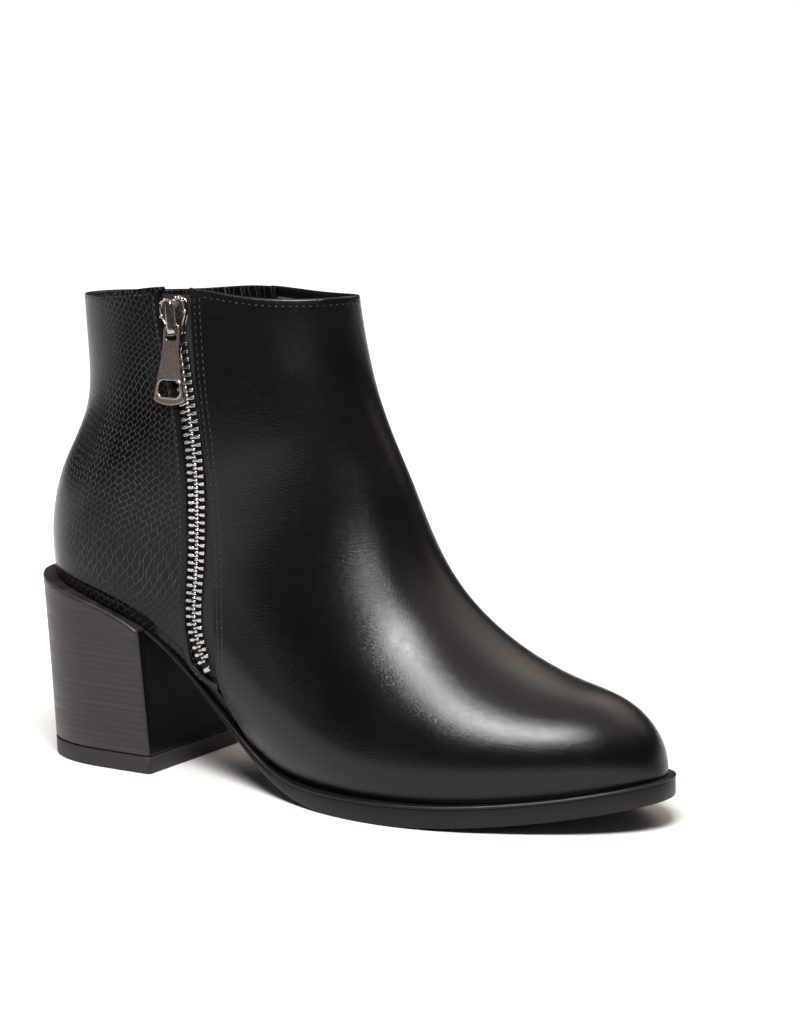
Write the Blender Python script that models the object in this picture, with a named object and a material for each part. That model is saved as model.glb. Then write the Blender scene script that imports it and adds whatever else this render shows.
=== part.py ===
# Ankle boot with a side zip and a block heel, one right boot, made piece by piece.
# Units are metres. The toe points to +X, the zip side is -Y and up is +Z.
# The sections are worked out in last coordinates, x from the back of the heel, and
# everything hangs on one empty, which moves the boot so that the origin is the bottom
# centre of its box.
import math

import bpy
import numpy as np
from mathutils import Matrix, Vector

# main sizes
BOOT_LENGTH = 0.2340       # heel to toe along the line where the upper meets the sole
BALL_WIDTH = 0.0810        # the scale of all the widths
COLLAR_HEIGHT = 0.1660     # floor to the front of the collar
COLLAR_DROP = 0.0035       # the collar's back below its front
COLLAR_FRONT = 0.1175      # x of the collar's front
COLLAR_BACK = 0.0115       # x of the collar's back
HEEL_HEIGHT = 0.0660       # floor to the seat at the back
SOLE_EDGE = 0.0075         # floor to the upper under the ball
TOE_SPRING = 0.0095        # rise of the toe's tip

# upper
WALL = 0.0020              # leather and lining together
LAP = 0.0009               # the front panel stands this far over the back panel
LAP_RUN = 0.0170           # width of the back panel that lies at that depth
FADE = 0.0240              # length beyond it over which the lap dies out
SEAM_STEP = 0.0005         # run of the lap's step along the surface
SLOT_FOOT = 0.0360         # floor to the slot's foot
SLOT_ROUND = 0.0070        # height of the rounding at the slot's foot
SLOT_DEPTH = 0.0710        # the slot's cutter runs in to this far from the outer side
BINDING_WIDTH = 0.0032     # folded strip beside the slot
BINDING_THICK = 0.0006
BINDING_GAP = 0.0004
TOE_REACH = 0.0650         # how far back from the tip the plan's rounding starts
TOE_ROUND = 2.0
HEEL_REACH = 0.0410        # the same at the back of the heel
SHAFT_REACH = 0.0530       # and at the back of the collar
BACK_ROUND = 2.2
TOE_SWING = 0.0030         # the toe's tip bends this far to the inner side
COLLAR_RISE = 0.0037       # the top line's rise over its ends at the outer side
TUCK_HEIGHT = 0.0300       # height of the tuck at the waist
AROUND_BACK = 12           # columns of the back panel on each side
AROUND_FRONT = 20          # columns of the front panel on each side
LEVELS = 22                # rows from sole to collar
STATIONS = 52              # cross lines of the sole and the insole

# sole, insole and heel
GAP = 0.0003               # free space between neighbouring pieces
SEAT_GAP = 0.0005          # free space between the heel's top and the upper
INSOLE_GAP = 0.0014        # free space around the insole
INSOLE_THICK = 0.0018
SOLE_CHAMFER = 0.0006
SOLE_WELT = 0.0030         # how far the edge stands out at the joint
SOLE_THICK = 0.0076        # thickness at the joint
HEEL_BACK_TOP = -0.0030    # x of the heel's lip
HEEL_BACK_FLOOR = 0.0012
BREAST_TOP = 0.0513        # x of the heel's flat front at the top
BREAST_FLOOR = 0.0544
HEEL_HALF_TOP = 0.0318
HEEL_HALF_FLOOR = 0.0287
HEEL_TIP = 0.0060          # height of the tread piece
HEEL_PLAN_REACH = 0.0340   # how far in from the back the heel reaches its full width
HEEL_PLAN_ROUND = 2.3
BREAST_CORNER = 0.0016

# zip
TAPE_THICK = 0.0007
TAPE_LAP = 0.0055          # how far the tape runs in behind each edge
CHAIN_WIDTH = 0.0064
TOOTH_PITCH = 0.0029       # from one tooth to the next in the same row
TOOTH_LENGTH = 0.00095     # of a tooth, along the zip
TOOTH_MEET = 0.0008        # how far each row reaches over the middle
TOOTH_PROUD = 0.0001       # the teeth's face over the leather
CORD_THICK = 0.0006
CORD_END = 0.0006          # the cord runs on past the last tooth
CHAIN_START = 0.0018       # from the slider's foot to the next tooth
CHAIN_END = 0.0065         # from the slot's foot to the last tooth
STOP_DROP = 0.0024         # the clamp's middle under the last tooth
STOP_WIDTH = 0.0036
STOP_LENGTH = 0.0018
SLIDER_DROP = 0.0073       # the slider's middle under the collar's front
SLIDER_LENGTH = 0.0130
SLIDER_WIDTH = 0.0100
SLIDER_RISE = 0.0014       # the slider's face above the leather
BRIDGE_WIDTH = 0.0024
BRIDGE_SPAN = 0.0118
BRIDGE_DROP = 0.0005       # the bridge's middle under the slider's
BRIDGE_ROOT = 0.0004       # how deep its feet run into the slider
BRIDGE_FLARE = 0.0003      # a leg is this much wider at the strap
BRIDGE_LEG = 0.0014
BRIDGE_GAP = 0.0021        # clear height under the bridge
BRIDGE_STRAP = 0.0010
PULL_LENGTH = 0.0262       # from the hinge to the tab's end
PULL_TOP = 0.0064          # width at the top
PULL_FOOT = 0.0122         # width at the foot
PULL_SHOULDER = 0.0075     # from the hinge to where it starts to widen
PULL_POINT = 0.0006        # the foot's point past its length
PULL_CORNER = 0.0012       # cut of the foot's corners
PULL_THICK = 0.0012
PULL_LEAN = 2.5            # degrees that the tab's foot leans in to the leather
PULL_BAR = 0.0012          # height of the bar under the bridge
PULL_PLAY = 0.0007         # free space between the bar and the bridge's leg
PULL_EYE = 0.0041          # width of the eye that goes round the bridge
PULL_EYE_LENGTH = 0.0042
PULL_HOLE_WIDTH = 0.0068
PULL_HOLE_LENGTH = 0.0056
PULL_HOLE_EDGE = 0.0024    # metal left under the hole
PULL_HOLE_CUT = 0.0012     # cut of the hole's corners

# Bottom of the last. Columns: place, share of the length from the heel, share of the
# heel's rise, share of the toe spring.
BOTTOM = (
    ("seat back", 0.00, 1.00, 0.00),
    ("seat", 0.11, 0.90, 0.00),
    ("seat front", 0.22, 0.74, 0.00),
    ("shank", 0.30, 0.51, 0.00),
    ("shank front", 0.38, 0.24, 0.00),
    ("waist", 0.45, 0.06, 0.00),
    ("joint back", 0.53, 0.00, 0.00),
    ("joint", 0.62, 0.00, 0.00),
    ("joint front", 0.74, 0.00, 0.10),
    ("toe", 0.87, 0.00, 0.42),
    ("tip", 1.00, 0.00, 1.00),
)
# Front line, from the toe's tip over the instep. Columns: place, share of the length,
# share of the collar's height.
FRONT = (
    ("nose", 0.982, 0.175),
    ("toe top", 0.930, 0.237),
    ("toe back", 0.850, 0.268),
    ("vamp", 0.755, 0.325),
    ("throat", 0.648, 0.470),
    ("instep", 0.588, 0.640),
    ("shin", 0.527, 0.820),
)
# Back line, seat to collar. Columns: as for the front line.
BACK = (
    ("counter", 0.000, 0.50),
    ("counter top", 0.018, 0.62),
    ("tendon", 0.058, 0.75),
    ("shaft", 0.057, 0.88),
)
# Sections fan out from the point over the tip at the collar's height. Columns: place,
# degrees below level, outer and inner half as shares of the ball width, share of the
# section taken up by the ridge's rounding, how square that rounding is.
SECTIONS = (
    ("collar", 0, 0.33, 0.34, 0.68, 2.2),
    ("shaft", 9, 0.36, 0.37, 0.54, 2.2),
    ("ankle", 20, 0.40, 0.39, 0.50, 2.2),
    ("heel", 31, 0.38, 0.38, 0.60, 2.1),
    ("waist", 45, 0.46, 0.41, 0.64, 2.0),
    ("joint", 60, 0.55, 0.46, 0.90, 2.1),
    ("toe", 74, 0.48, 0.45, 0.84, 2.1),
    ("tip", 90, 0.41, 0.39, 0.88, 2.1),
)
# How the wall tucks in at the sole. Columns: place, share of the length, share of the
# width lost at the sole, share of the tuck's height over which it is lost.
TUCK = (
    ("heel", 0.00, 0.10, 0.67),
    ("seat front", 0.25, 0.14, 0.80),
    ("waist", 0.42, 0.25, 1.00),
    ("joint", 0.62, 0.075, 0.53),
    ("toe", 0.85, 0.07, 0.43),
    ("tip", 1.00, 0.07, 0.33),
)
# Top line. Columns: place, share from back to front, then its rise on the outer and the
# inner side as shares of the collar's rise.
COLLAR = (
    ("back", 0.00, 0.00, 0.00),
    ("back side", 0.25, 0.49, 0.00),
    ("side", 0.50, 1.00, 0.41),
    ("front side", 0.75, 0.14, 0.00),
    ("front", 1.00, 0.00, 0.00),
)
# Side seam and slot, from the collar down. Columns: place, share of the height from the
# slot's foot to the collar's front, then x as shares of the length: middle of the teeth,
# slot's back edge, slot's front edge.
SEAM = (
    ("over", 1.075, 0.261, 0.237, 0.290),
    ("slider", 0.910, 0.278, 0.254, 0.302),
    ("pull", 0.757, 0.299, 0.282, 0.318),
    ("ankle", 0.617, 0.318, 0.301, 0.334),
    ("middle", 0.450, 0.324, 0.307, 0.344),
    ("low", 0.298, 0.320, 0.304, 0.348),
    ("seat", 0.176, 0.317, 0.301, 0.352),
    ("foot", 0.080, 0.327, 0.304, 0.358),
    ("end", 0.000, 0.348, 0.312, 0.361),
    ("below", -0.054, 0.368, 0.330, 0.374),
    ("sole", -0.111, 0.390, 0.360, 0.395),
    ("under", -0.200, 0.425, 0.400, 0.430),
)
# Outsole. Columns: place, share of the length, how far the edge stands out on the outer
# and inner side as shares of the welt, share of the thickness.
SOLE = (
    ("breast", 0.21, 0.13, 0.13, 0.16),
    ("shank", 0.30, 0.20, 0.20, 0.24),
    ("shank front", 0.38, 0.37, 0.37, 0.37),
    ("waist", 0.45, 0.67, 0.60, 0.55),
    ("joint back", 0.53, 0.97, 0.90, 0.85),
    ("joint", 0.62, 1.00, 0.93, 1.00),
    ("joint front", 0.70, 1.00, 0.93, 0.99),
    ("toe", 0.80, 0.93, 0.93, 0.96),
    ("tip", 1.00, 0.87, 0.87, 0.95),
)


def column(table, number):
    return np.array([row[number] for row in table], float)


def smooth_curve(at, values):
    """A natural cubic through the points, as a function that is held at its ends."""
    at = np.asarray(at, float)
    values = np.asarray(values, float)
    steps = np.diff(at)
    count = len(at)
    system = np.eye(count)
    right = np.zeros(values.shape)
    slopes = np.diff(values, axis=0)
    slopes = slopes / (steps if values.ndim == 1 else steps[:, None])
    for i in range(1, count - 1):
        system[i, i - 1:i + 2] = steps[i - 1], 2 * (steps[i - 1] + steps[i]), steps[i]
        right[i] = 6 * (slopes[i] - slopes[i - 1])
    bend = np.linalg.solve(system, right)

    def curve(x):
        x = np.clip(np.asarray(x, float), at[0], at[-1])
        i = np.clip(np.searchsorted(at, x, side="right") - 1, 0, count - 2)
        a = (at[i + 1] - x) / steps[i]
        b = 1 - a
        k = steps[i] ** 2 / 6
        if values.ndim == 2:
            a, b, k = a[..., None], b[..., None], k[..., None]
        return a * values[i] + b * values[i + 1] + ((a**3 - a) * bend[i] + (b**3 - b) * bend[i + 1]) * k

    return curve


def round_cap(share, square):
    """Rises from 0 to 1 like a quarter of an oval."""
    share = np.clip(share, 0, 1)
    return np.clip(1 - (1 - share) ** square, 0, 1) ** (1 / square)


def ease(share):
    share = np.clip(share, 0, 1)
    return share * share * (3 - 2 * share)


def along_path(points):
    """The points as a function of the share of their path's length."""
    run = np.concatenate([[0], np.cumsum(np.linalg.norm(np.diff(points, axis=0), axis=1) ** 0.9)])
    return smooth_curve(run / run[-1], points)


bottom_rise = column(BOTTOM, 2) * (HEEL_HEIGHT - SOLE_EDGE) + column(BOTTOM, 3) * TOE_SPRING
bottom = smooth_curve(column(BOTTOM, 1) * BOOT_LENGTH, SOLE_EDGE + bottom_rise)
tip_z = float(bottom(BOOT_LENGTH))
seat_z = float(bottom(0.0))
slider_z = COLLAR_HEIGHT - SLIDER_DROP
chain_top = slider_z - SLIDER_LENGTH / 2 - CHAIN_START
chain_foot = SLOT_FOOT + CHAIN_END

front_points = [(BOOT_LENGTH, tip_z)]
front_points += [(row[1] * BOOT_LENGTH, row[2] * COLLAR_HEIGHT) for row in FRONT]
front_points.append((COLLAR_FRONT, COLLAR_HEIGHT))
front_line = along_path(np.array(front_points))
back_points = [(0.0, seat_z)]
back_points += [(row[1] * BOOT_LENGTH, row[2] * COLLAR_HEIGHT) for row in BACK]
back_points.append((COLLAR_BACK, COLLAR_HEIGHT - COLLAR_DROP))
back_line = along_path(np.array(back_points))

outer_half = smooth_curve(column(SECTIONS, 1), column(SECTIONS, 2) * BALL_WIDTH)
inner_half = smooth_curve(column(SECTIONS, 1), column(SECTIONS, 3) * BALL_WIDTH)
ridge_share = smooth_curve(column(SECTIONS, 1), column(SECTIONS, 4))
ridge_square = smooth_curve(column(SECTIONS, 1), column(SECTIONS, 5))
tuck_share = smooth_curve(column(TUCK, 1) * BOOT_LENGTH, column(TUCK, 2))
tuck_height = smooth_curve(column(TUCK, 1) * BOOT_LENGTH, column(TUCK, 3) * TUCK_HEIGHT)
outer_rim = smooth_curve(column(COLLAR, 1), column(COLLAR, 2) * COLLAR_RISE)
inner_rim = smooth_curve(column(COLLAR, 1), column(COLLAR, 3) * COLLAR_RISE)
seam_order = np.argsort(column(SEAM, 1))
seam_z = SLOT_FOOT + column(SEAM, 1)[seam_order] * (COLLAR_HEIGHT - SLOT_FOOT)
teeth_x = smooth_curve(seam_z, column(SEAM, 2)[seam_order] * BOOT_LENGTH)
slot_back_x = smooth_curve(seam_z, column(SEAM, 3)[seam_order] * BOOT_LENGTH)
slot_front_x = smooth_curve(seam_z, column(SEAM, 4)[seam_order] * BOOT_LENGTH)
welt_outer = smooth_curve(column(SOLE, 1) * BOOT_LENGTH, column(SOLE, 2) * SOLE_WELT)
welt_inner = smooth_curve(column(SOLE, 1) * BOOT_LENGTH, column(SOLE, 3) * SOLE_WELT)
sole_thick = smooth_curve(column(SOLE, 1) * BOOT_LENGTH, column(SOLE, 4) * SOLE_THICK)


def fan_angle(x, z):
    return np.degrees(np.arctan2(COLLAR_HEIGHT - z, np.maximum(BOOT_LENGTH - x, 1e-6)))


def fan_reach(points):
    """Distance from the fan's point to a line of points, by angle."""
    angle = fan_angle(points[:, 0], points[:, 1])
    reach = np.hypot(BOOT_LENGTH - points[:, 0], COLLAR_HEIGHT - points[:, 1])
    order = np.argsort(angle, kind="stable")
    return angle[order], reach[order]


sole_x = np.linspace(0, BOOT_LENGTH, 400)
near_fan = fan_reach(front_line(np.linspace(0, 1, 400)))
far_fan = fan_reach(np.concatenate([
    back_line(np.linspace(1, 0, 400)), np.stack([sole_x, bottom(sole_x)], axis=-1)]))
back_samples = back_line(np.linspace(0, 1, 300))


def half_width(x, z, side):
    """Half of the boot's width at a place of its side view. The outer side is -1."""
    angle = np.clip(fan_angle(x, z), 0, 90)
    reach = np.hypot(BOOT_LENGTH - x, COLLAR_HEIGHT - z)
    near = np.interp(angle, *near_fan)
    far = np.interp(angle, *far_fan)
    depth = np.clip((reach - near) / np.maximum(far - near, 1e-4), 0, 1)
    width = outer_half(angle) if side < 0 else inner_half(angle)
    ridge = round_cap(depth / ridge_share(angle), ridge_square(angle))
    back_x = np.interp(z, back_samples[:, 1], back_samples[:, 0])
    high = np.clip((z - HEEL_HEIGHT) / (COLLAR_HEIGHT - HEEL_HEIGHT), 0, 1)
    back = round_cap((x - back_x) / (HEEL_REACH + (SHAFT_REACH - HEEL_REACH) * high), BACK_ROUND)
    toe = round_cap((BOOT_LENGTH - x) / TOE_REACH, TOE_ROUND)
    lift = np.clip((z - bottom(x)) / tuck_height(x), 0, 1)
    tuck = 1 - tuck_share(x) * (1 - lift) ** 2
    return width * ridge * back * toe * tuck


def centre_y(x):
    return TOE_SWING * ease((np.asarray(x) / BOOT_LENGTH - 0.45) / 0.55)


def side_place(share, level, side):
    """The side view's x and z at a share from back to front and a level from sole to collar."""
    share, level = np.broadcast_arrays(np.asarray(share, float), np.asarray(level, float))
    x = share * BOOT_LENGTH
    low = np.stack([x, bottom(x)], axis=-1)
    rim = (outer_rim if side < 0 else inner_rim)(share)
    top_x = COLLAR_BACK + share * (COLLAR_FRONT - COLLAR_BACK)
    top = np.stack([top_x, COLLAR_HEIGHT - COLLAR_DROP * (1 - share) + rim], axis=-1)
    s, v = share[..., None], level[..., None]
    edges = (1 - v) * low + v * top + (1 - s) * back_line(level) + s * front_line(level)
    corners = (1 - s) * ((1 - v) * back_line(0.0) + v * back_line(1.0))
    corners = corners + s * ((1 - v) * front_line(0.0) + v * front_line(1.0))
    return edges - corners


def skin(x, z, side):
    """The point of the boot's skin at a place of the side view."""
    x, z = np.broadcast_arrays(np.asarray(x, float), np.asarray(z, float))
    return np.stack([x, centre_y(x) + side * half_width(x, z, side), z], axis=-1)


def skin_normal(x, z, side):
    step = 0.0004
    by_x = (skin(x + step, z, side) - skin(x - step, z, side))[..., 1] / (2 * step)
    by_z = (skin(x, z + step, side) - skin(x, z - step, side))[..., 1] / (2 * step)
    out = np.stack([-by_x, np.ones_like(by_x), -by_z], axis=-1) * side
    return out / np.linalg.norm(out, axis=-1, keepdims=True)


def share_at(edge_x, level, side):
    """The share at which a row crosses a line given as x by z."""
    low, high = 0.02, 0.98
    for _ in range(40):
        middle = (low + high) / 2
        x, z = side_place(middle, level, side)
        if x < edge_x(z):
            low = middle
        else:
            high = middle
    return (low + high) / 2


def edge_line(out):
    """The slot's back edge moved outwards, rounded at its foot and led into the seam."""
    foot = SLOT_FOOT - out
    start = SLOT_FOOT + SLOT_ROUND

    def line(z):
        base = slot_back_x(z) - out
        turn = np.clip((start - z) / (start - foot), 0, 1)
        return base + (slot_front_x(z) - base) * (1 - np.sqrt(1 - turn**2))

    return line


upper_run = np.linspace(0, 1, LEVELS)
LEVEL_ROWS = 0.3 * upper_run**2 + 0.7 * upper_run


def shifted(edge_x, by):
    return lambda z: edge_x(z) + by


def columns_of(level, side):
    """Shares of the columns of one row, and how far each lies under the front panel's skin."""
    seam = [share_at(shifted(slot_front_x, -SEAM_STEP), level, side), share_at(slot_front_x, level, side)]
    run = np.linspace(0, 1, AROUND_BACK + 1)[:-1]
    back = seam[0] * (0.4 * run + 0.6 * (1 - np.cos(np.pi / 2 * run)))
    run = np.linspace(0, 1, AROUND_FRONT + 1)[1:]
    front = 1 - (1 - seam[1]) * (0.45 * (1 - run) + 0.55 * (1 - np.sin(np.pi / 2 * run)))
    back_x = side_place(back, level, side)[:, 0]
    seam_x = side_place(seam[0], level, side)[0]
    back_drop = -LAP * (1 - ease((seam_x - LAP_RUN - back_x) / FADE))
    return np.concatenate([back, seam, front]), np.concatenate([back_drop, [-LAP, 0.0], np.zeros(len(front))])


def mesh_object(name, points, faces, colour, metallic, roughness, parent):
    """An object from points and faces, with its own material. Faces turn outwards."""
    mesh = bpy.data.meshes.new(name)
    mesh.from_pydata([tuple(map(float, point)) for point in points], [], faces)
    mesh.update()
    material = bpy.data.materials.new(name)
    material.use_nodes = True
    shader = material.node_tree.nodes["Principled BSDF"]
    shader.inputs["Base Color"].default_value = (*colour, 1)
    shader.inputs["Metallic"].default_value = metallic
    shader.inputs["Roughness"].default_value = roughness
    mesh.materials.append(material)
    made = bpy.data.objects.new(name, mesh)
    bpy.context.scene.collection.objects.link(made)
    made.parent = parent
    return made


def turn_out(made):
    """Turns a closed mesh's faces outwards."""
    mesh = made.data
    mesh.calc_loop_triangles()
    points = np.array([vertex.co[:] for vertex in mesh.vertices])
    corners = points[np.array([triangle.vertices[:] for triangle in mesh.loop_triangles])]
    volume = np.einsum("ij,ij->i", corners[:, 0], np.cross(corners[:, 1], corners[:, 2])).sum()
    if volume < 0:
        mesh.flip_normals()


def smooth_shade(made, degrees):
    """Smooth shading, with edges sharper than the angle kept."""
    mesh = made.data
    for face in mesh.polygons:
        face.use_smooth = True
    mesh.set_sharp_from_angle(angle=math.radians(degrees))


def two_sheets(top, under, faces):
    """Points and faces of a solid between two sheets with the same faces."""
    count = len(top)
    sides = {}
    for face in faces:
        for a, b in zip(face, face[1:] + face[:1]):
            if (b, a) in sides:
                del sides[(b, a)]
            else:
                sides[(a, b)] = True
    solid = list(faces)
    solid += [tuple(count + i for i in reversed(face)) for face in faces]
    solid += [(b, a, count + a, count + b) for a, b in sides]
    used = sorted({i for face in solid for i in face})
    place = {old: new for new, old in enumerate(used)}
    points = np.concatenate([top, under])[used]
    return points, [tuple(place[i] for i in face) for face in solid]


def stacked_rings(rings, strips):
    """Points and faces of a solid from rings one above the other. Each cap is strips across."""
    size = len(rings[0])
    points = np.concatenate(rings)
    faces = []
    for level in range(len(rings) - 1):
        a, b = level * size, (level + 1) * size
        for i in range(size):
            j = (i + 1) % size
            faces.append((a + i, a + j, b + j, b + i))
    top = (len(rings) - 1) * size
    for cap in strips:
        faces.append(tuple(reversed(cap)))
        faces.append(tuple(top + i for i in cap))
    return points, faces


def box_points(low, high):
    corners = [(x, y, z) for x in (low[0], high[0]) for y in (low[1], high[1]) for z in (low[2], high[2])]
    faces = [(0, 1, 3, 2), (4, 6, 7, 5), (0, 4, 5, 1), (2, 3, 7, 6), (0, 2, 6, 4), (1, 5, 7, 3)]
    return corners, faces


def prism(outline, low, high):
    """Points and faces of an outline in x and z, drawn out along y."""
    count = len(outline)
    points = [(x, low, z) for x, z in outline] + [(x, high, z) for x, z in outline]
    faces = [tuple(range(count)), tuple(reversed(range(count, 2 * count)))]
    for i in range(count):
        j = (i + 1) % count
        faces.append((j, i, count + i, count + j))
    return points, faces


def helper(name, points, faces):
    """A hidden shape that a Boolean uses."""
    mesh = bpy.data.meshes.new(name)
    mesh.from_pydata([tuple(map(float, point)) for point in points], [], faces)
    mesh.update()
    made = bpy.data.objects.new(name, mesh)
    bpy.context.scene.collection.objects.link(made)
    turn_out(made)
    made.hide_render = True
    made.display_type = "WIRE"
    return made


def boolean(target, other, operation):
    change = target.modifiers.new(other.name, "BOOLEAN")
    change.object = other
    change.operation = operation
    change.solver = "EXACT"


def upper_sheets():
    """Outer and inner skins of the upper as rows of columns from the sole to the collar."""
    outer_rows, inner_rows = [], []
    for level in LEVEL_ROWS:
        row_out, row_in = [], []
        for side in (-1, 1):
            shares, drops = columns_of(level, side)
            place = side_place(shares, level, side)
            x, z = place[:, 0], place[:, 1]
            on_skin = skin(x, z, side)
            on_skin[[0, -1], 1] = centre_y(x[[0, -1]])
            normal = skin_normal(np.clip(x, x[0] + 0.0006, x[-1] - 0.0006), z, side)
            normal[0] = back_normal(level)
            normal[-1] = front_normal(level)
            outside = on_skin + drops[:, None] * normal
            inside = on_skin - WALL * normal
            if level == 0:
                inside[:, 2] = bottom(inside[:, 0])
            if level == 1:
                inside[:, 2] = outside[:, 2]
            if side > 0:
                outside, inside = outside[-2:0:-1], inside[-2:0:-1]
            row_out.append(outside)
            row_in.append(inside)
        outer_rows.append(np.concatenate(row_out))
        inner_rows.append(np.concatenate(row_in))
    return np.array(outer_rows), np.array(inner_rows)


def line_normal(line, level, outward):
    a, b = line(max(level - 0.004, 0.0)), line(min(level + 0.004, 1.0))
    run = (b - a) / np.linalg.norm(b - a)
    return np.array([run[1] * outward, 0, -run[0] * outward])


def front_normal(level):
    return line_normal(front_line, level, 1)


def back_normal(level):
    return line_normal(back_line, level, -1)


def slot_outline():
    """The slot in the side view, as points down its back edge and up its front edge."""
    run = np.linspace(0, 1, 9)[1:]
    low = SLOT_FOOT + SLOT_ROUND * (1 - np.sin(np.pi / 2 * run))
    z = np.concatenate([np.linspace(COLLAR_HEIGHT * 1.05, SLOT_FOOT + SLOT_ROUND, 14), low])
    back = np.stack([edge_line(0.0)(z), z], axis=-1)
    z = np.linspace(SLOT_FOOT, COLLAR_HEIGHT * 1.05, 16)[1:]
    return np.concatenate([back, np.stack([slot_front_x(z), z], axis=-1)])


def make_upper(parent):
    outside, inside = upper_sheets()
    rows, around = outside.shape[:2]
    faces = []
    for i in range(rows - 1):
        for j in range(around):
            k = (j + 1) % around
            faces.append((i * around + j, i * around + k, (i + 1) * around + k, (i + 1) * around + j))
    points, faces = two_sheets(outside.reshape(-1, 3), inside.reshape(-1, 3), faces)
    made = mesh_object("upper", points, faces, (0.012, 0.011, 0.012), 0, 0.42, parent)
    turn_out(made)
    smooth_shade(made, 38)
    points, faces = prism(slot_outline(), -BALL_WIDTH, SLOT_DEPTH - BALL_WIDTH)
    slot = helper("slot_shape", points, faces)
    slot.parent = parent
    boolean(made, slot, "DIFFERENCE")


def make_binding(parent):
    """The folded strip that follows the slot's back edge and bends round its foot."""
    line = edge_line(BINDING_WIDTH / 2)
    foot = SLOT_FOOT - BINDING_WIDTH / 2
    start = SLOT_FOOT + SLOT_ROUND
    run = np.linspace(0, 1, 9)[1:-1]
    low = foot + (start - foot) * (1 - np.sin(np.pi / 2 * run))
    z = np.concatenate([np.linspace(COLLAR_HEIGHT * 0.998, start, 20), low])
    path = np.stack([line(z), z], axis=-1)
    ahead = np.gradient(path, axis=0)
    ahead /= np.linalg.norm(ahead, axis=-1, keepdims=True)
    across = np.stack([-ahead[:, 1], ahead[:, 0]], axis=-1)
    sheets = []
    for depth in (-LAP + BINDING_GAP + BINDING_THICK, -LAP + BINDING_GAP):
        rows = []
        for share in (-0.5, 0.0, 0.5):
            at = path + across * share * BINDING_WIDTH
            rows.append(skin(at[:, 0], at[:, 1], -1) + depth * skin_normal(at[:, 0], at[:, 1], -1))
        sheets.append(np.stack(rows, axis=1).reshape(-1, 3))
    faces = []
    for i in range(len(path) - 1):
        for j in range(2):
            a = i * 3 + j
            faces.append((a, a + 1, a + 4, a + 3))
    points, faces = two_sheets(sheets[0], sheets[1], faces)
    made = mesh_object("zip_binding", points, faces, (0.012, 0.011, 0.012), 0, 0.5, parent)
    turn_out(made)
    smooth_shade(made, 40)


station_run = np.linspace(0, 1, STATIONS)
station_x = BOOT_LENGTH * (0.16 * station_run + 0.84 * (1 - np.cos(np.pi * station_run)) / 2)


def outline_rows(x, spread):
    """Plan lines of the skin at the sole at the given stations, moved outwards, for both sides."""
    lines = []
    for side in (-1, 1):
        points = skin(x, bottom(x), side)[:, :2]
        points[-1, 1] = centre_y(BOOT_LENGTH)
        ahead = np.gradient(points, axis=0)
        out = np.stack([-ahead[:, 1], ahead[:, 0]], axis=-1) * side
        out /= np.linalg.norm(out, axis=-1, keepdims=True)
        out[-1] = (1, 0)
        if x[0] == 0:
            points[0, 1] = centre_y(0.0)
            out[0] = (-1, 0)
        lines.append(points + out * spread(x, side)[:, None])
    return lines


def ring_of(lines):
    """One ring from the outer line, heel to toe, and the inner line back."""
    return np.concatenate([lines[0], lines[1][-2::-1]])


def cross_strips(count):
    """Cells across a ring made by ring_of, for its caps."""
    last = 2 * count - 2
    cells = [(i, i + 1, last - i - 1, last - i) for i in range(count - 2)]
    return cells + [(count - 2, count - 1, count)]


def make_outsole(parent):
    start = BREAST_TOP + GAP
    x = np.concatenate([[start], station_x[station_x > start + 0.002]])
    count = len(x)

    def spread(inset):
        return lambda x, side: (welt_outer(x) if side < 0 else welt_inner(x)) - inset

    def height(points, share, shift):
        x = np.clip(points[:, 0], 0, BOOT_LENGTH)
        slope = (tip_z - bottom(BOOT_LENGTH - 0.004)) / 0.004
        top = bottom(x) + slope * np.maximum(points[:, 0] - BOOT_LENGTH, 0) - GAP
        low = np.maximum(top - sole_thick(x), 0.0)
        return top + (low - top) * share + shift

    rings = []
    for inset, share, shift in ((SOLE_CHAMFER, 1, 0), (0, 1, SOLE_CHAMFER),
                                (0, 0, -SOLE_CHAMFER), (SOLE_CHAMFER, 0, 0)):
        lines = outline_rows(x, spread(inset))
        thin = np.clip(sole_thick(np.minimum(ring_of(lines)[:, 0], BOOT_LENGTH)) / 0.004, 0.25, 1)
        ring = ring_of(lines)
        ring[[0, -1], 0] = start
        rings.append(np.column_stack([ring, height(ring, share, shift * thin)]))
    points, faces = stacked_rings(rings, cross_strips(count))
    made = mesh_object("outsole", points, faces, (0.028, 0.026, 0.026), 0, 0.38, parent)
    turn_out(made)
    smooth_shade(made, 32)


def make_insole(parent):
    count = STATIONS
    lines = outline_rows(station_x, lambda x, side: np.full(len(x), -WALL - INSOLE_GAP))
    ring = np.concatenate([lines[0], lines[1][-2:0:-1]])
    floor = bottom(np.clip(ring[:, 0], 0, BOOT_LENGTH))
    rings = [np.column_stack([ring, floor]), np.column_stack([ring, floor + INSOLE_THICK])]
    size = len(ring)
    cells = [(0, 1, size - 1)]
    cells += [(i, i + 1, size - i - 1, size - i) for i in range(1, count - 2)]
    cells += [(count - 2, count - 1, count)]
    points, faces = stacked_rings(rings, cells)
    made = mesh_object("insole", points, faces, (0.02, 0.019, 0.02), 0, 0.8, parent)
    turn_out(made)
    smooth_shade(made, 40)


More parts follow.
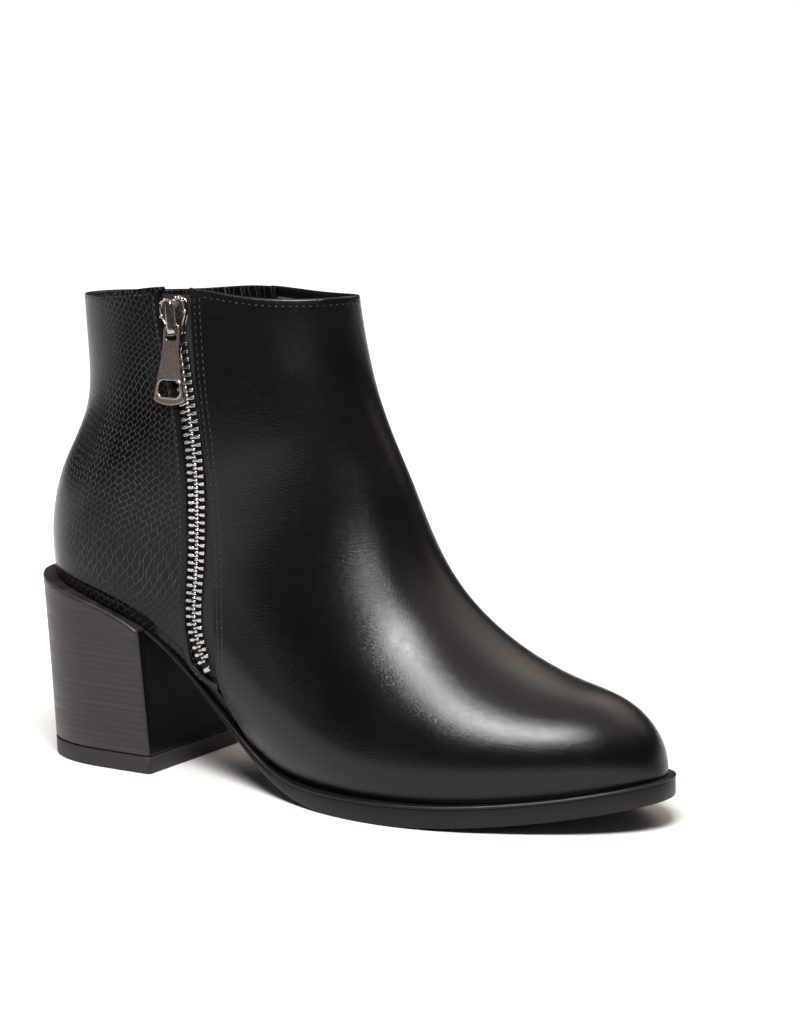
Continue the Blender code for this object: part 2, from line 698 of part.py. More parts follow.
def heel_plan(share):
    """The heel's outline at a share of its height, from the floor to the seat."""
    back = HEEL_BACK_FLOOR + (HEEL_BACK_TOP - HEEL_BACK_FLOOR) * share**1.15
    breast = BREAST_FLOOR + (BREAST_TOP - BREAST_FLOOR) * share
    half = HEEL_HALF_FLOOR + (HEEL_HALF_TOP - HEEL_HALF_FLOOR) * share**1.3
    run = np.linspace(0, 1, 16)
    x = back + HEEL_PLAN_REACH * (1 - np.cos(np.pi / 2 * run)) ** 0.95
    side = x[-1] + (breast - BREAST_CORNER - x[-1]) * np.array([1, 2, 3]) / 3
    x = np.concatenate([x, side, [breast]])
    y = half * round_cap((x - back) / HEEL_PLAN_REACH, HEEL_PLAN_ROUND)
    y[-1] = half - BREAST_CORNER
    return np.concatenate([np.column_stack([x, -y]), np.column_stack([x, y])[:0:-1]])


def heel_caps():
    count = 20
    size = 2 * count - 1
    cells = [(0, 1, size - 1)]
    return cells + [(i, i + 1, size - i - 1, size - i) for i in range(1, count - 1)]


def make_heel(parent):
    whole = seat_z - SEAT_GAP
    low = HEEL_TIP + GAP
    rings = []
    for share in (0.0, 0.25, 0.5, 0.75, 0.94, 1.0):
        plan = heel_plan((low + (whole - low) * share) / whole)
        seat = bottom(np.clip(plan[:, 0], 0, BOOT_LENGTH)) - SEAT_GAP
        rings.append(np.column_stack([plan, low + share * (seat - low)]))
    points, faces = stacked_rings(rings, heel_caps())
    block = mesh_object("heel_block", points, faces, (0.045, 0.041, 0.040), 0, 0.45, parent)
    turn_out(block)
    smooth_shade(block, 30)
    rings = []
    for z in (0.0, HEEL_TIP):
        plan = heel_plan(z / whole)
        rings.append(np.column_stack([plan, np.full(len(plan), z)]))
    points, faces = stacked_rings(rings, heel_caps())
    tread = mesh_object("heel_tip", points, faces, (0.035, 0.034, 0.034), 0, 0.6, parent)
    turn_out(tread)
    smooth_shade(tread, 30)


def zip_frame(z):
    """Middle of the teeth at a height: its place in the side view and the zip's run there."""
    step = 0.0005
    run = np.array([teeth_x(z + step) - teeth_x(z - step), 2 * step])
    return float(teeth_x(z)), run / np.linalg.norm(run)


def zip_points(z, across, depth):
    """A point at a distance across from the teeth's middle and a depth over the skin."""
    x, run = zip_frame(z)
    at_x = x + across * run[1]
    at_z = z - across * run[0]
    return skin(at_x, at_z, -1) + depth * skin_normal(at_x, at_z, -1)


def chain_heights(low, high, step):
    """Heights one step apart along the teeth's line, from the top down."""
    heights = [high]
    while True:
        _, run = zip_frame(heights[-1])
        following = heights[-1] - step * run[1]
        if following < low:
            return heights
        heights.append(following)


def make_tape(parent):
    across = (0.0, 0.25, 0.5, 0.75, 1.0)
    levels = np.concatenate([[0.035], LEVEL_ROWS[2:-1], [0.992]])
    over, under = [], []
    for level in levels:
        back = share_at(shifted(slot_back_x, -TAPE_LAP), level, -1)
        front = share_at(shifted(slot_front_x, TAPE_LAP), level, -1)
        for share in across:
            x, z = side_place(back + (front - back) * share, level, -1)
            point, normal = skin(x, z, -1), skin_normal(x, z, -1)
            over.append(point - (WALL + GAP) * normal)
            under.append(point - (WALL + GAP + TAPE_THICK) * normal)
    width = len(across)
    faces = []
    for i in range(len(levels) - 1):
        for j in range(width - 1):
            a = i * width + j
            faces.append((a, a + 1, a + width + 1, a + width))
    points, faces = two_sheets(np.array(over), np.array(under), faces)
    made = mesh_object("zip_tape", points, faces, (0.01, 0.01, 0.011), 0, 0.85, parent)
    turn_out(made)
    smooth_shade(made, 40)


def make_chain(parent):
    """The closed chain: a thin band with the teeth of both rows standing on it in turn."""
    half = CHAIN_WIDTH / 2
    floor = TOOTH_PROUD - WALL
    band = floor + CORD_THICK
    stops = chain_heights(chain_foot, chain_top, TOOTH_PITCH / 2)
    rows = []
    for z in stops:
        run = zip_frame(z)[1][1]
        rows += [z + TOOTH_LENGTH / 2 * run, z - TOOTH_LENGTH / 2 * run]
    rows = [rows[0] + CORD_END] + rows + [rows[-1] - CORD_END]
    across = (-half, -TOOTH_MEET, TOOTH_MEET, half)
    points = []
    index = {}

    def at(row, col, layer):
        key = (row, col, layer)
        if key not in index:
            index[key] = len(points)
            depth = (floor, band, TOOTH_PROUD)[layer]
            points.append(zip_points(rows[row], across[col], depth))
        return index[key]

    def tooth_cells(row):
        if row % 2 == 0 or row == len(rows) - 1:
            return ()
        return (0, 1) if (row // 2) % 2 == 0 else (1, 2)

    faces = []
    for row in range(len(rows) - 1):
        raised = tooth_cells(row)
        for col in range(3):
            layer = 2 if col in raised else 1
            faces.append((at(row, col, layer), at(row, col + 1, layer),
                          at(row + 1, col + 1, layer), at(row + 1, col, layer)))
            faces.append((at(row + 1, col, 0), at(row + 1, col + 1, 0),
                          at(row, col + 1, 0), at(row, col, 0)))
        if raised:
            left, right = raised[0], raised[-1] + 1
            for col in raised:
                faces.append((at(row, col, 1), at(row, col + 1, 1), at(row, col + 1, 2), at(row, col, 2)))
                faces.append((at(row + 1, col + 1, 1), at(row + 1, col, 1),
                              at(row + 1, col, 2), at(row + 1, col + 1, 2)))
            faces.append((at(row + 1, left, 1), at(row, left, 1), at(row, left, 2), at(row + 1, left, 2)))
            faces.append((at(row, right, 1), at(row + 1, right, 1),
                          at(row + 1, right, 2), at(row, right, 2)))
        faces.append((at(row + 1, 0, 0), at(row, 0, 0), at(row, 0, 1), at(row + 1, 0, 1)))
        faces.append((at(row, 3, 0), at(row + 1, 3, 0), at(row + 1, 3, 1), at(row, 3, 1)))
    last = len(rows) - 1
    for col in range(3):
        faces.append((at(0, col, 0), at(0, col + 1, 0), at(0, col + 1, 1), at(0, col, 1)))
        faces.append((at(last, col + 1, 0), at(last, col, 0), at(last, col, 1), at(last, col + 1, 1)))
    made = mesh_object("zip_teeth", points, faces, (0.75, 0.74, 0.72), 1, 0.25, parent)
    turn_out(made)
    return made


def surface_frame(z, upright):
    """A frame on the skin at the teeth's middle: across, out of the leather, and up."""
    x, run = zip_frame(z)
    out = skin_normal(x, z, -1)
    up = np.array([0, 0, 1.0]) if upright else np.array([run[0], 0, run[1]])
    up = up - out * up.dot(out)
    up /= np.linalg.norm(up)
    across = np.cross(up, out)
    return skin(x, z, -1), across, out, up


def placed(made, origin, across, out, up):
    """Stands an object made with x across, -y out of the leather and z up."""
    turn = Matrix((across, -out, up)).transposed()
    made.location = Vector(origin)
    made.rotation_euler = turn.to_euler()


def make_slider(parent):
    origin, across, out, up = surface_frame(slider_z, False)
    half, long = SLIDER_WIDTH / 2, SLIDER_LENGTH / 2
    outline = [(-half * 0.62, -long), (half * 0.62, -long), (half * 0.78, -long * 0.35), (half, 0.1 * long),
               (half, long * 0.72), (half * 0.62, long), (0.0, long * 0.86), (-half * 0.62, long),
               (-half, long * 0.72), (-half, 0.1 * long), (-half * 0.78, -long * 0.35)]
    points, faces = prism(outline, -SLIDER_RISE, WALL - GAP)
    made = mesh_object("zip_slider", points, faces, (0.35, 0.31, 0.28), 1, 0.3, parent)
    turn_out(made)
    face = -SLIDER_RISE
    root = face + BRIDGE_ROOT
    reach = face - BRIDGE_GAP
    top, low = BRIDGE_SPAN / 2 - BRIDGE_DROP, -BRIDGE_SPAN / 2 - BRIDGE_DROP
    profile = [(root, low), (reach, low), (reach - BRIDGE_STRAP, low + BRIDGE_STRAP),
               (reach - BRIDGE_STRAP, top - BRIDGE_STRAP), (reach, top), (root, top),
               (root, top - BRIDGE_LEG), (reach, top - BRIDGE_LEG - BRIDGE_FLARE),
               (reach, low + BRIDGE_LEG + BRIDGE_FLARE), (root, low + BRIDGE_LEG)]
    count = len(profile)
    wide = BRIDGE_WIDTH / 2
    points = [(-wide, y, z) for y, z in profile] + [(wide, y, z) for y, z in profile]
    faces = [tuple(range(count)), tuple(reversed(range(count, 2 * count)))]
    for i in range(count):
        j = (i + 1) % count
        faces.append((j, i, count + i, count + j))
    bridge = helper("bridge_shape", points, faces)
    bridge.parent = made
    boolean(made, bridge, "UNION")
    placed(made, origin, across, out, up)
    return made


def make_pull(parent):
    """The tab, with its origin on the hinge: the bar that lies under the bridge."""
    origin, across, out, up = surface_frame(slider_z, False)
    bar = PULL_BAR / 2
    low = BRIDGE_LEG + BRIDGE_FLARE - BRIDGE_SPAN / 2 - BRIDGE_DROP
    hinge = origin + out * (SLIDER_RISE + BRIDGE_GAP / 2) + up * (low + PULL_PLAY + bar)
    _, across, out, up = surface_frame(slider_z - PULL_LENGTH / 2, True)
    lean = math.radians(PULL_LEAN)
    out, up = out * math.cos(lean) - up * math.sin(lean), up * math.cos(lean) + out * math.sin(lean)
    top, foot = PULL_TOP / 2, PULL_FOOT / 2
    end = PULL_CORNER / 4 - PULL_LENGTH
    outline = [(-top * 0.8, bar), (top * 0.8, bar), (top, -bar), (top, -PULL_SHOULDER),
               (foot, PULL_CORNER - PULL_LENGTH), (foot * 0.72, end), (0.0, -PULL_POINT - PULL_LENGTH),
               (-foot * 0.72, end), (-foot, PULL_CORNER - PULL_LENGTH), (-top, -PULL_SHOULDER), (-top, -bar)]
    points, faces = prism(outline, -PULL_THICK / 2, PULL_THICK / 2)
    made = mesh_object("zip_pull", points, faces, (0.33, 0.29, 0.26), 1, 0.28, parent)
    turn_out(made)
    deep = PULL_THICK
    eye = PULL_EYE / 2
    points, faces = box_points((-eye, -deep, -bar - PULL_EYE_LENGTH), (eye, deep, -bar))
    boolean(made, helper("eye_shape", points, faces), "DIFFERENCE")
    wide, long = PULL_HOLE_WIDTH / 2, PULL_HOLE_LENGTH / 2
    middle = PULL_HOLE_EDGE + long - PULL_LENGTH
    cut = PULL_HOLE_CUT
    hole = [(-wide + cut, middle - long), (wide - cut, middle - long), (wide, middle - long + cut),
            (wide, middle + long - cut), (wide - cut, middle + long), (-wide + cut, middle + long),
            (-wide, middle + long - cut), (-wide, middle - long + cut)]
    points, faces = prism(hole, -deep, deep)
    boolean(made, helper("hole_shape", points, faces), "DIFFERENCE")
    for shape in made.modifiers:
        shape.object.parent = made
    placed(made, hinge, across, out, up)
    return made


def make_stop(parent):
    """The clamp at the foot of the chain."""
    z = chain_foot - STOP_DROP
    x, run = zip_frame(z)
    origin = skin(x, z, -1)
    out = skin_normal(x, z, -1)
    up = np.array([run[0], 0, run[1]])
    up = up - out * up.dot(out)
    up /= np.linalg.norm(up)
    across = np.cross(up, out)
    half, long = STOP_WIDTH / 2, STOP_LENGTH / 2
    points, faces = box_points((-half, -TOOTH_PROUD, -long), (half, WALL - GAP, long))
    made = mesh_object("zip_stop", points, faces, (0.7, 0.69, 0.67), 1, 0.3, parent)
    turn_out(made)
    placed(made, origin, across, out, up)


def settle(frame):
    """Moves the empty so that the box of all the pieces has its bottom centre at the origin."""
    bpy.context.view_layer.update()
    graph = bpy.context.evaluated_depsgraph_get()
    corners = []
    for made in frame.children:
        if made.hide_render:
            continue
        evaluated = made.evaluated_get(graph)
        corners += [evaluated.matrix_world @ Vector(corner) for corner in evaluated.bound_box]
    low = Vector(map(min, zip(*corners)))
    high = Vector(map(max, zip(*corners)))
    frame.location = (-(low.x + high.x) / 2, -(low.y + high.y) / 2, -low.z)
    bpy.context.view_layer.update()


def main():
    for old in list(bpy.data.objects):
        bpy.data.objects.remove(old, do_unlink=True)
    frame = bpy.data.objects.new("boot_frame", None)
    bpy.context.scene.collection.objects.link(frame)
    make_upper(frame)
    make_binding(frame)
    make_outsole(frame)
    make_insole(frame)
    make_heel(frame)
    make_tape(frame)
    make_chain(frame)
    make_slider(frame)
    pull = make_pull(frame)
    make_stop(frame)
    settle(frame)
    axis = pull.matrix_world.to_3x3() @ Vector((-1, 0, 0))
    print("hinge at", [round(value, 5) for value in pull.matrix_world.translation])
    print("hinge axis", [round(value, 4) for value in axis])
    print("frame moved by", [round(value, 5) for value in frame.location])


main()
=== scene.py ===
# The look of the zip ankle boot: every piece is drawn over the same last as the part.
# Metres, toe to +X, zip side -Y, up +Z.
import math

import bpy
import numpy as np
from mathutils import Matrix, Vector


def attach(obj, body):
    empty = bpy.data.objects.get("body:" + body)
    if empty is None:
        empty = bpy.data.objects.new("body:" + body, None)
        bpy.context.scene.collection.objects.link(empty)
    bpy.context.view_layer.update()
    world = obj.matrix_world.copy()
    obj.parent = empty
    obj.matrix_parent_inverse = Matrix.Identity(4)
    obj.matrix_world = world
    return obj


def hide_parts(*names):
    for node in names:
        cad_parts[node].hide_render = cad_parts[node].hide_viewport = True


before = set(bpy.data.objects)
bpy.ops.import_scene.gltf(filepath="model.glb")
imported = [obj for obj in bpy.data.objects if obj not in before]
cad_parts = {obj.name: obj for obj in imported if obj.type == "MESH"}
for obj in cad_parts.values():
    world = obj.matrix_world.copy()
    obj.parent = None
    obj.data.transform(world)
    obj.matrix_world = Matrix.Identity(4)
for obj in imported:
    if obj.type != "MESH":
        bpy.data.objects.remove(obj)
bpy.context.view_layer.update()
print("frame loaded:", len(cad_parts), "nodes")

last = {
    "place": (-0.1168, 0.00190, 0.0),   # from the last's own corner to the part's origin
    "length": 0.2340, "ball": 0.0810,
    "collarHeight": 0.1660, "collarDrop": 0.0035, "collarFront": 0.1175, "collarBack": 0.0115,
    "heelHeight": 0.0660, "soleEdge": 0.0075, "toeSpring": 0.0095,
    "toeReach": 0.0650, "toeRound": 2.0, "heelReach": 0.0410, "shaftReach": 0.0530, "backRound": 2.2,
    "toeSwing": 0.0030, "slotFoot": 0.0360, "slotRound": 0.0070,
    "rimRise": 0.0037, "tuckHeight": 0.0300, "welt": 0.0030, "soleThick": 0.0076,
    "bottom": ((0.00, 1.00, 0.00), (0.11, 0.90, 0.00), (0.22, 0.74, 0.00), (0.30, 0.51, 0.00),
               (0.38, 0.24, 0.00), (0.45, 0.06, 0.00), (0.53, 0.00, 0.00), (0.62, 0.00, 0.00),
               (0.74, 0.00, 0.10), (0.87, 0.00, 0.42), (1.00, 0.00, 1.00)),
    "front": ((0.982, 0.175), (0.930, 0.237), (0.850, 0.268), (0.755, 0.325), (0.648, 0.470),
              (0.588, 0.640), (0.527, 0.820)),
    "back": ((0.000, 0.50), (0.018, 0.62), (0.058, 0.75), (0.057, 0.88)),
    "sections": ((0, 0.33, 0.34, 0.68, 2.2), (9, 0.36, 0.37, 0.54, 2.2), (20, 0.40, 0.39, 0.50, 2.2),
                 (31, 0.38, 0.38, 0.60, 2.1), (45, 0.46, 0.41, 0.64, 2.0), (60, 0.55, 0.46, 0.90, 2.1),
                 (74, 0.48, 0.45, 0.84, 2.1), (90, 0.41, 0.39, 0.88, 2.1)),
    "tuck": ((0.00, 0.10, 0.67), (0.25, 0.14, 0.80), (0.42, 0.25, 1.00), (0.62, 0.075, 0.53),
             (0.85, 0.07, 0.43), (1.00, 0.07, 0.33)),
    "rim": ((0.00, 0.00, 0.00), (0.25, 0.49, 0.00), (0.50, 1.00, 0.41), (0.75, 0.14, 0.00),
            (1.00, 0.00, 0.00)),
    "seam": ((1.075, 0.261, 0.237, 0.290), (0.910, 0.278, 0.254, 0.302), (0.757, 0.299, 0.282, 0.318),
             (0.617, 0.318, 0.301, 0.334), (0.450, 0.324, 0.307, 0.344), (0.298, 0.320, 0.304, 0.348),
             (0.176, 0.317, 0.301, 0.352), (0.080, 0.327, 0.304, 0.358), (0.000, 0.348, 0.312, 0.361),
             (-0.054, 0.368, 0.330, 0.374), (-0.111, 0.390, 0.360, 0.395), (-0.200, 0.425, 0.400, 0.430)),
    "sole": ((0.21, 0.13, 0.13, 0.16), (0.30, 0.20, 0.20, 0.24), (0.38, 0.37, 0.37, 0.37),
             (0.45, 0.67, 0.60, 0.55), (0.53, 0.97, 0.90, 0.85), (0.62, 1.00, 0.93, 1.00),
             (0.70, 1.00, 0.93, 0.99), (0.80, 0.93, 0.93, 0.96), (1.00, 0.87, 0.87, 0.95)),
}
long, tall = last["length"], last["collarHeight"]
place = np.array(last["place"])


def smoothCurve(at, values):
    # a natural cubic through the points, held at its ends
    at, values = np.asarray(at, float), np.asarray(values, float)
    steps, count = np.diff(at), len(at)
    system, right = np.eye(count), np.zeros(values.shape)
    slopes = np.diff(values, axis=0) / (steps if values.ndim == 1 else steps[:, None])
    for i in range(1, count - 1):
        system[i, i - 1:i + 2] = steps[i - 1], 2 * (steps[i - 1] + steps[i]), steps[i]
        right[i] = 6 * (slopes[i] - slopes[i - 1])
    bend = np.linalg.solve(system, right)

    def curve(x):
        x = np.clip(np.asarray(x, float), at[0], at[-1])
        i = np.clip(np.searchsorted(at, x, side="right") - 1, 0, count - 2)
        a = (at[i + 1] - x) / steps[i]
        b = 1 - a
        k = steps[i] ** 2 / 6
        if values.ndim == 2:
            a, b, k = a[..., None], b[..., None], k[..., None]
        return a * values[i] + b * values[i + 1] + ((a**3 - a) * bend[i] + (b**3 - b) * bend[i + 1]) * k

    return curve


def tableCurve(name, number, by=1.0, scale=1.0, base=0.0):
    rows = sorted(last[name])
    return smoothCurve([base + row[0] * by for row in rows], [row[number] * scale for row in rows])


def roundCap(share, square):
    share = np.clip(share, 0, 1)
    return np.clip(1 - (1 - share) ** square, 0, 1) ** (1 / square)


def ease(share):
    share = np.clip(share, 0, 1)
    return share * share * (3 - 2 * share)


def unit(vectors):
    return vectors / np.linalg.norm(vectors, axis=-1, keepdims=True)


def runLength(points, power=1.0):
    return np.concatenate([[0], np.cumsum(np.linalg.norm(np.diff(points, axis=0), axis=1) ** power)])


def alongPath(points):
    points = np.array(points, float)
    run = runLength(points, 0.9)
    return smoothCurve(run / run[-1], points)


bottomRows = np.array(last["bottom"])
bottomRise = bottomRows[:, 1] * (last["heelHeight"] - last["soleEdge"]) + bottomRows[:, 2] * last["toeSpring"]
bottom = smoothCurve(bottomRows[:, 0] * long, last["soleEdge"] + bottomRise)
tipZ, seatZ = float(bottom(long)), float(bottom(0.0))
frontLine = alongPath([(long, tipZ)] + [(x * long, z * tall) for x, z in last["front"]]
                      + [(last["collarFront"], tall)])
backLine = alongPath([(0.0, seatZ)] + [(x * long, z * tall) for x, z in last["back"]]
                     + [(last["collarBack"], tall - last["collarDrop"])])
halfOuter, halfInner = (tableCurve("sections", i, scale=last["ball"]) for i in (1, 2))
ridgeShare, ridgeSquare = tableCurve("sections", 3), tableCurve("sections", 4)
tuckShare, tuckHeight = tableCurve("tuck", 1, long), tableCurve("tuck", 2, long, last["tuckHeight"])
rimOuter, rimInner = (tableCurve("rim", i, 1.0, last["rimRise"]) for i in (1, 2))
foot = last["slotFoot"]
teethX, slotBackX, slotFrontX = (tableCurve("seam", i, tall - foot, long, foot) for i in (1, 2, 3))
weltOuter, weltInner = (tableCurve("sole", i, long, last["welt"]) for i in (1, 2))
soleThick = tableCurve("sole", 3, long, last["soleThick"])


def fanReach(points):
    angle = np.degrees(np.arctan2(tall - points[:, 1], np.maximum(long - points[:, 0], 1e-6)))
    reach = np.hypot(long - points[:, 0], tall - points[:, 1])
    order = np.argsort(angle, kind="stable")
    return angle[order], reach[order]


floorX = np.linspace(0, long, 400)
nearFan = fanReach(frontLine(np.linspace(0, 1, 400)))
floorLine = np.stack([floorX, bottom(floorX)], axis=-1)
farFan = fanReach(np.concatenate([backLine(np.linspace(1, 0, 400)), floorLine]))
backSamples = backLine(np.linspace(0, 1, 300))

# the heel's corner in the far line would leave a crease across the ankle, so it is eased
cornerEase = {"samples": 1801, "window": 241, "breadth": 7.0}
heelCorner = math.degrees(math.atan2(tall - seatZ, long))
fanAngles = np.linspace(0, 90, cornerEase["samples"])
sharpFan = np.interp(fanAngles, *farFan)
window = np.hanning(cornerEase["window"])
longFan = np.pad(sharpFan, cornerEase["window"] // 2, mode="edge")
softFan = np.convolve(longFan, window / window.sum(), "valid")
nearCorner = np.exp(-((fanAngles - heelCorner) / cornerEase["breadth"]) ** 2)
farFan = (fanAngles, sharpFan + (softFan - sharpFan) * nearCorner)


def halfWidth(x, z, side):
    angle = np.clip(np.degrees(np.arctan2(tall - z, np.maximum(long - x, 1e-6))), 0, 90)
    reach = np.hypot(long - x, tall - z)
    near, far = np.interp(angle, *nearFan), np.interp(angle, *farFan)
    depth = np.clip((reach - near) / np.maximum(far - near, 1e-4), 0, 1)
    width = np.where(side < 0, halfOuter(angle), halfInner(angle))
    ridge = roundCap(depth / ridgeShare(angle), ridgeSquare(angle))
    backX = np.interp(z, backSamples[:, 1], backSamples[:, 0])
    high = np.clip((z - last["heelHeight"]) / (tall - last["heelHeight"]), 0, 1)
    reachBack = last["heelReach"] + (last["shaftReach"] - last["heelReach"]) * high
    back = roundCap((x - backX) / reachBack, last["backRound"])
    toe = roundCap((long - x) / last["toeReach"], last["toeRound"])
    lift = np.clip((z - bottom(x)) / tuckHeight(x), 0, 1)
    return width * ridge * back * toe * (1 - tuckShare(x) * (1 - lift) ** 2)


def centreY(x):
    return last["toeSwing"] * ease((np.asarray(x) / long - 0.45) / 0.55)


def sidePlace(share, level, side):
    # the side view's x and z at a share from back to front and a level from sole to collar
    share, level, side = np.broadcast_arrays(np.asarray(share, float), np.asarray(level, float), side)
    x = share * long
    low = np.stack([x, bottom(x)], axis=-1)
    rim = np.where(side < 0, rimOuter(share), rimInner(share))
    topX = last["collarBack"] + share * (last["collarFront"] - last["collarBack"])
    top = np.stack([topX, tall - last["collarDrop"] * (1 - share) + rim], axis=-1)
    s, v = share[..., None], level[..., None]
    edges = (1 - v) * low + v * top + (1 - s) * backLine(level) + s * frontLine(level)
    corners = (1 - s) * ((1 - v) * backLine(0.0) + v * backLine(1.0))
    return edges - corners - s * ((1 - v) * frontLine(0.0) + v * frontLine(1.0))


def ringPoint(turn, level):
    # a ring round the boot: turn 0 at the back, up to pi along the zip side, then back inside
    side = np.where(np.sin(turn) >= 0, -1.0, 1.0)
    at = sidePlace((1 - np.cos(turn)) / 2, level, side)
    x, z = at[..., 0], at[..., 1]
    return np.stack([x, centreY(x) + side * halfWidth(x, z, side), z], axis=-1)


def ringNormal(turn, level):
    turn, level = np.broadcast_arrays(turn, level)
    around = ringPoint(turn + 0.012, level) - ringPoint(turn - 0.012, level)
    up = ringPoint(turn, np.clip(level + 0.006, 0, 1)) - ringPoint(turn, np.clip(level - 0.006, 0, 1))
    return unit(np.cross(around, up))


def skin(x, z, side=-1.0):
    x, z = np.broadcast_arrays(np.asarray(x, float), np.asarray(z, float))
    return np.stack([x, centreY(x) + side * halfWidth(x, z, side), z], axis=-1)


def skinNormal(x, z, side=-1.0):
    step = 0.0004
    byX = (skin(x + step, z, side) - skin(x - step, z, side))[..., 1] / (2 * step)
    byZ = (skin(x, z + step, side) - skin(x, z - step, side))[..., 1] / (2 * step)
    return unit(np.stack([-byX, np.ones_like(byX), -byZ], axis=-1) * side)


def shareAt(edgeX, levels, side):
    # the shares at which rows cross a line given as x by z
    low, high = np.full(len(levels), 0.02), np.full(len(levels), 0.98)
    for _ in range(32):
        middle = (low + high) / 2
        at = sidePlace(middle, levels, side)
        short = at[:, 0] < edgeX(at[:, 1])
        low, high = np.where(short, middle, low), np.where(short, high, middle)
    return (low + high) / 2


def slotEdge(out):
    # the slot's back edge moved out, rounded at its foot and led into the seam
    lowest, start = foot - out, foot + last["slotRound"]

    def line(z):
        base = slotBackX(z) - out
        turn = np.clip((start - z) / (start - lowest), 0, 1)
        return base + (slotFrontX(z) - base) * (1 - np.sqrt(1 - turn**2))

    return line


def addToScene(made):
    bpy.context.scene.collection.objects.link(made)


def makeMesh(name, points, faces, material, body="boot", keepSharp=None):
    mesh = bpy.data.meshes.new(name)
    mesh.from_pydata((np.asarray(points, float) + place).tolist(), [], faces)
    mesh.update()
    mesh.materials.append(material)
    mesh.shade_smooth()
    if keepSharp:
        mesh.set_sharp_from_angle(angle=math.radians(keepSharp))
    made = bpy.data.objects.new(name, mesh)
    addToScene(made)
    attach(made, body)
    return made


def gridFaces(rows, cols, wrap=False, start=0):
    faces = []
    for i in range(rows - 1):
        for j in range(cols if wrap else cols - 1):
            k = (j + 1) % cols
            faces.append((start + i * cols + j, start + i * cols + k,
                          start + (i + 1) * cols + k, start + (i + 1) * cols + j))
    return faces


def gridMesh(name, rows, material, wrap=False):
    return makeMesh(name, rows.reshape(-1, 3), gridFaces(*rows.shape[:2], wrap=wrap), material)


def endCaps(rows, size, start=0):
    # one face over the first ring and one over the last
    return [tuple(start + k for k in range(size))[::-1],
            tuple(start + (rows - 1) * size + k for k in range(size))]


def gather(parts):
    # one list of points and one of faces from several
    points, faces = [], []
    for more, cells in parts:
        faces += [tuple(len(points) + i for i in cell) for cell in cells]
        points += more
    return points, faces


def addUv(made, name, values):
    # one pair of numbers per point
    layer = made.data.uv_layers.new(name=name)
    corner = np.zeros(len(made.data.loops), np.int32)
    made.data.loops.foreach_get("vertex_index", corner)
    layer.data.foreach_set("uv", np.asarray(values, np.float32)[corner].ravel())


def setInputs(tree, made, inputs):
    # an input is linked, or else given its value
    for key, value in inputs.items():
        if isinstance(value, bpy.types.NodeSocket):
            tree.links.new(value, made.inputs[key])
        else:
            made.inputs[key].default_value = value


def node(tree, kind, inputs=None, **settings):
    made = tree.nodes.new(kind)
    for key, value in settings.items():
        setattr(made, key, value)
    setInputs(tree, made, inputs or {})
    return made


def newMaterial(name):
    made = bpy.data.materials.new(name)
    made.use_nodes = True
    tree = made.node_tree
    return made, tree, tree.nodes["Principled BSDF"], node(tree, "ShaderNodeTexCoord").outputs["Object"]


def maths(tree, operation, a, b=0.0, clamp=False):
    return node(tree, "ShaderNodeMath", {0: a, 1: b}, operation=operation, use_clamp=clamp).outputs[0]


def vectorMaths(tree, operation, inputs, output="Vector"):
    return node(tree, "ShaderNodeVectorMath", inputs, operation=operation).outputs[output]


def noise(tree, where, scale, detail, output="Fac"):
    inputs = {"Vector": where, "Scale": scale, "Detail": detail}
    return node(tree, "ShaderNodeTexNoise", inputs).outputs[output]


def waveBands(tree, where, scale, distortion, bands):
    inputs = {"Vector": where, "Scale": scale, "Distortion": distortion}
    return node(tree, "ShaderNodeTexWave", inputs, bands_direction=bands).outputs["Fac"]


def spread(tree, value, low, high, toLow, toHigh, **settings):
    inputs = {"Value": value, "From Min": low, "From Max": high, "To Min": toLow, "To Max": toHigh}
    return node(tree, "ShaderNodeMapRange", inputs, **settings).outputs[0]


def blendColour(tree, share, first, second):
    first, second = (v if isinstance(v, bpy.types.NodeSocket) else (*v, 1) for v in (first, second))
    return node(tree, "ShaderNodeMix", {0: share, 6: first, 7: second}, data_type="RGBA").outputs[2]


def bump(tree, shader, height, distance, before=None):
    made = node(tree, "ShaderNodeBump", {"Height": height, "Distance": distance, "Strength": 1.0})
    if before:
        tree.links.new(before.outputs[0], made.inputs["Normal"])
    tree.links.new(made.outputs[0], shader.inputs["Normal"])
    return made


# smooth leather
smoothHide = {"dark": (0.0020, 0.0018, 0.0022), "light": (0.0034, 0.0031, 0.0035), "roughness": (0.20, 0.27),
              "grainSize": 0.00075, "grainDepth": 0.000021, "pebbleDepth": 0.000010, "gloss": 0.31}


def smoothLeather(name, values):
    made, tree, shader, where = newMaterial(name)
    broad, fine = noise(tree, where, 45.0, 3.0), noise(tree, where, 420.0, 4.0)
    cells = node(tree, "ShaderNodeTexVoronoi", {"Vector": where, "Scale": 1 / values["grainSize"]},
                 feature="DISTANCE_TO_EDGE").outputs["Distance"]
    mixed = maths(tree, "ADD", maths(tree, "MULTIPLY", broad, 0.6), maths(tree, "MULTIPLY", fine, 0.4))
    setInputs(tree, shader, {"Base Color": blendColour(tree, broad, values["dark"], values["light"]),
                             "Roughness": spread(tree, mixed, 0.3, 0.7, *values["roughness"]),
                             "Specular IOR Level": values["gloss"]})
    first = bump(tree, shader, fine, values["pebbleDepth"])
    bump(tree, shader, spread(tree, cells, 0.0, 0.22, 0.0, 1.0), values["grainDepth"], first)
    return made


# embossed leather of the back panel
embossedHide = {"cell": (0.0024, 0.0022, 0.0025), "line": (0.075, 0.070, 0.069), "roughness": (0.21, 0.29),
                "gloss": 0.22, "size": 0.0021, "tilt": 47.0, "lowTilt": 16.0, "depth": 0.00012,
                "wobble": 1.10, "mortar": 0.038, "middle": (0.03, 0.11), "innerShare": 0.96,
                "lowFrom": 0.11, "lowBreadth": 0.06, "lowGrowth": 0.16}


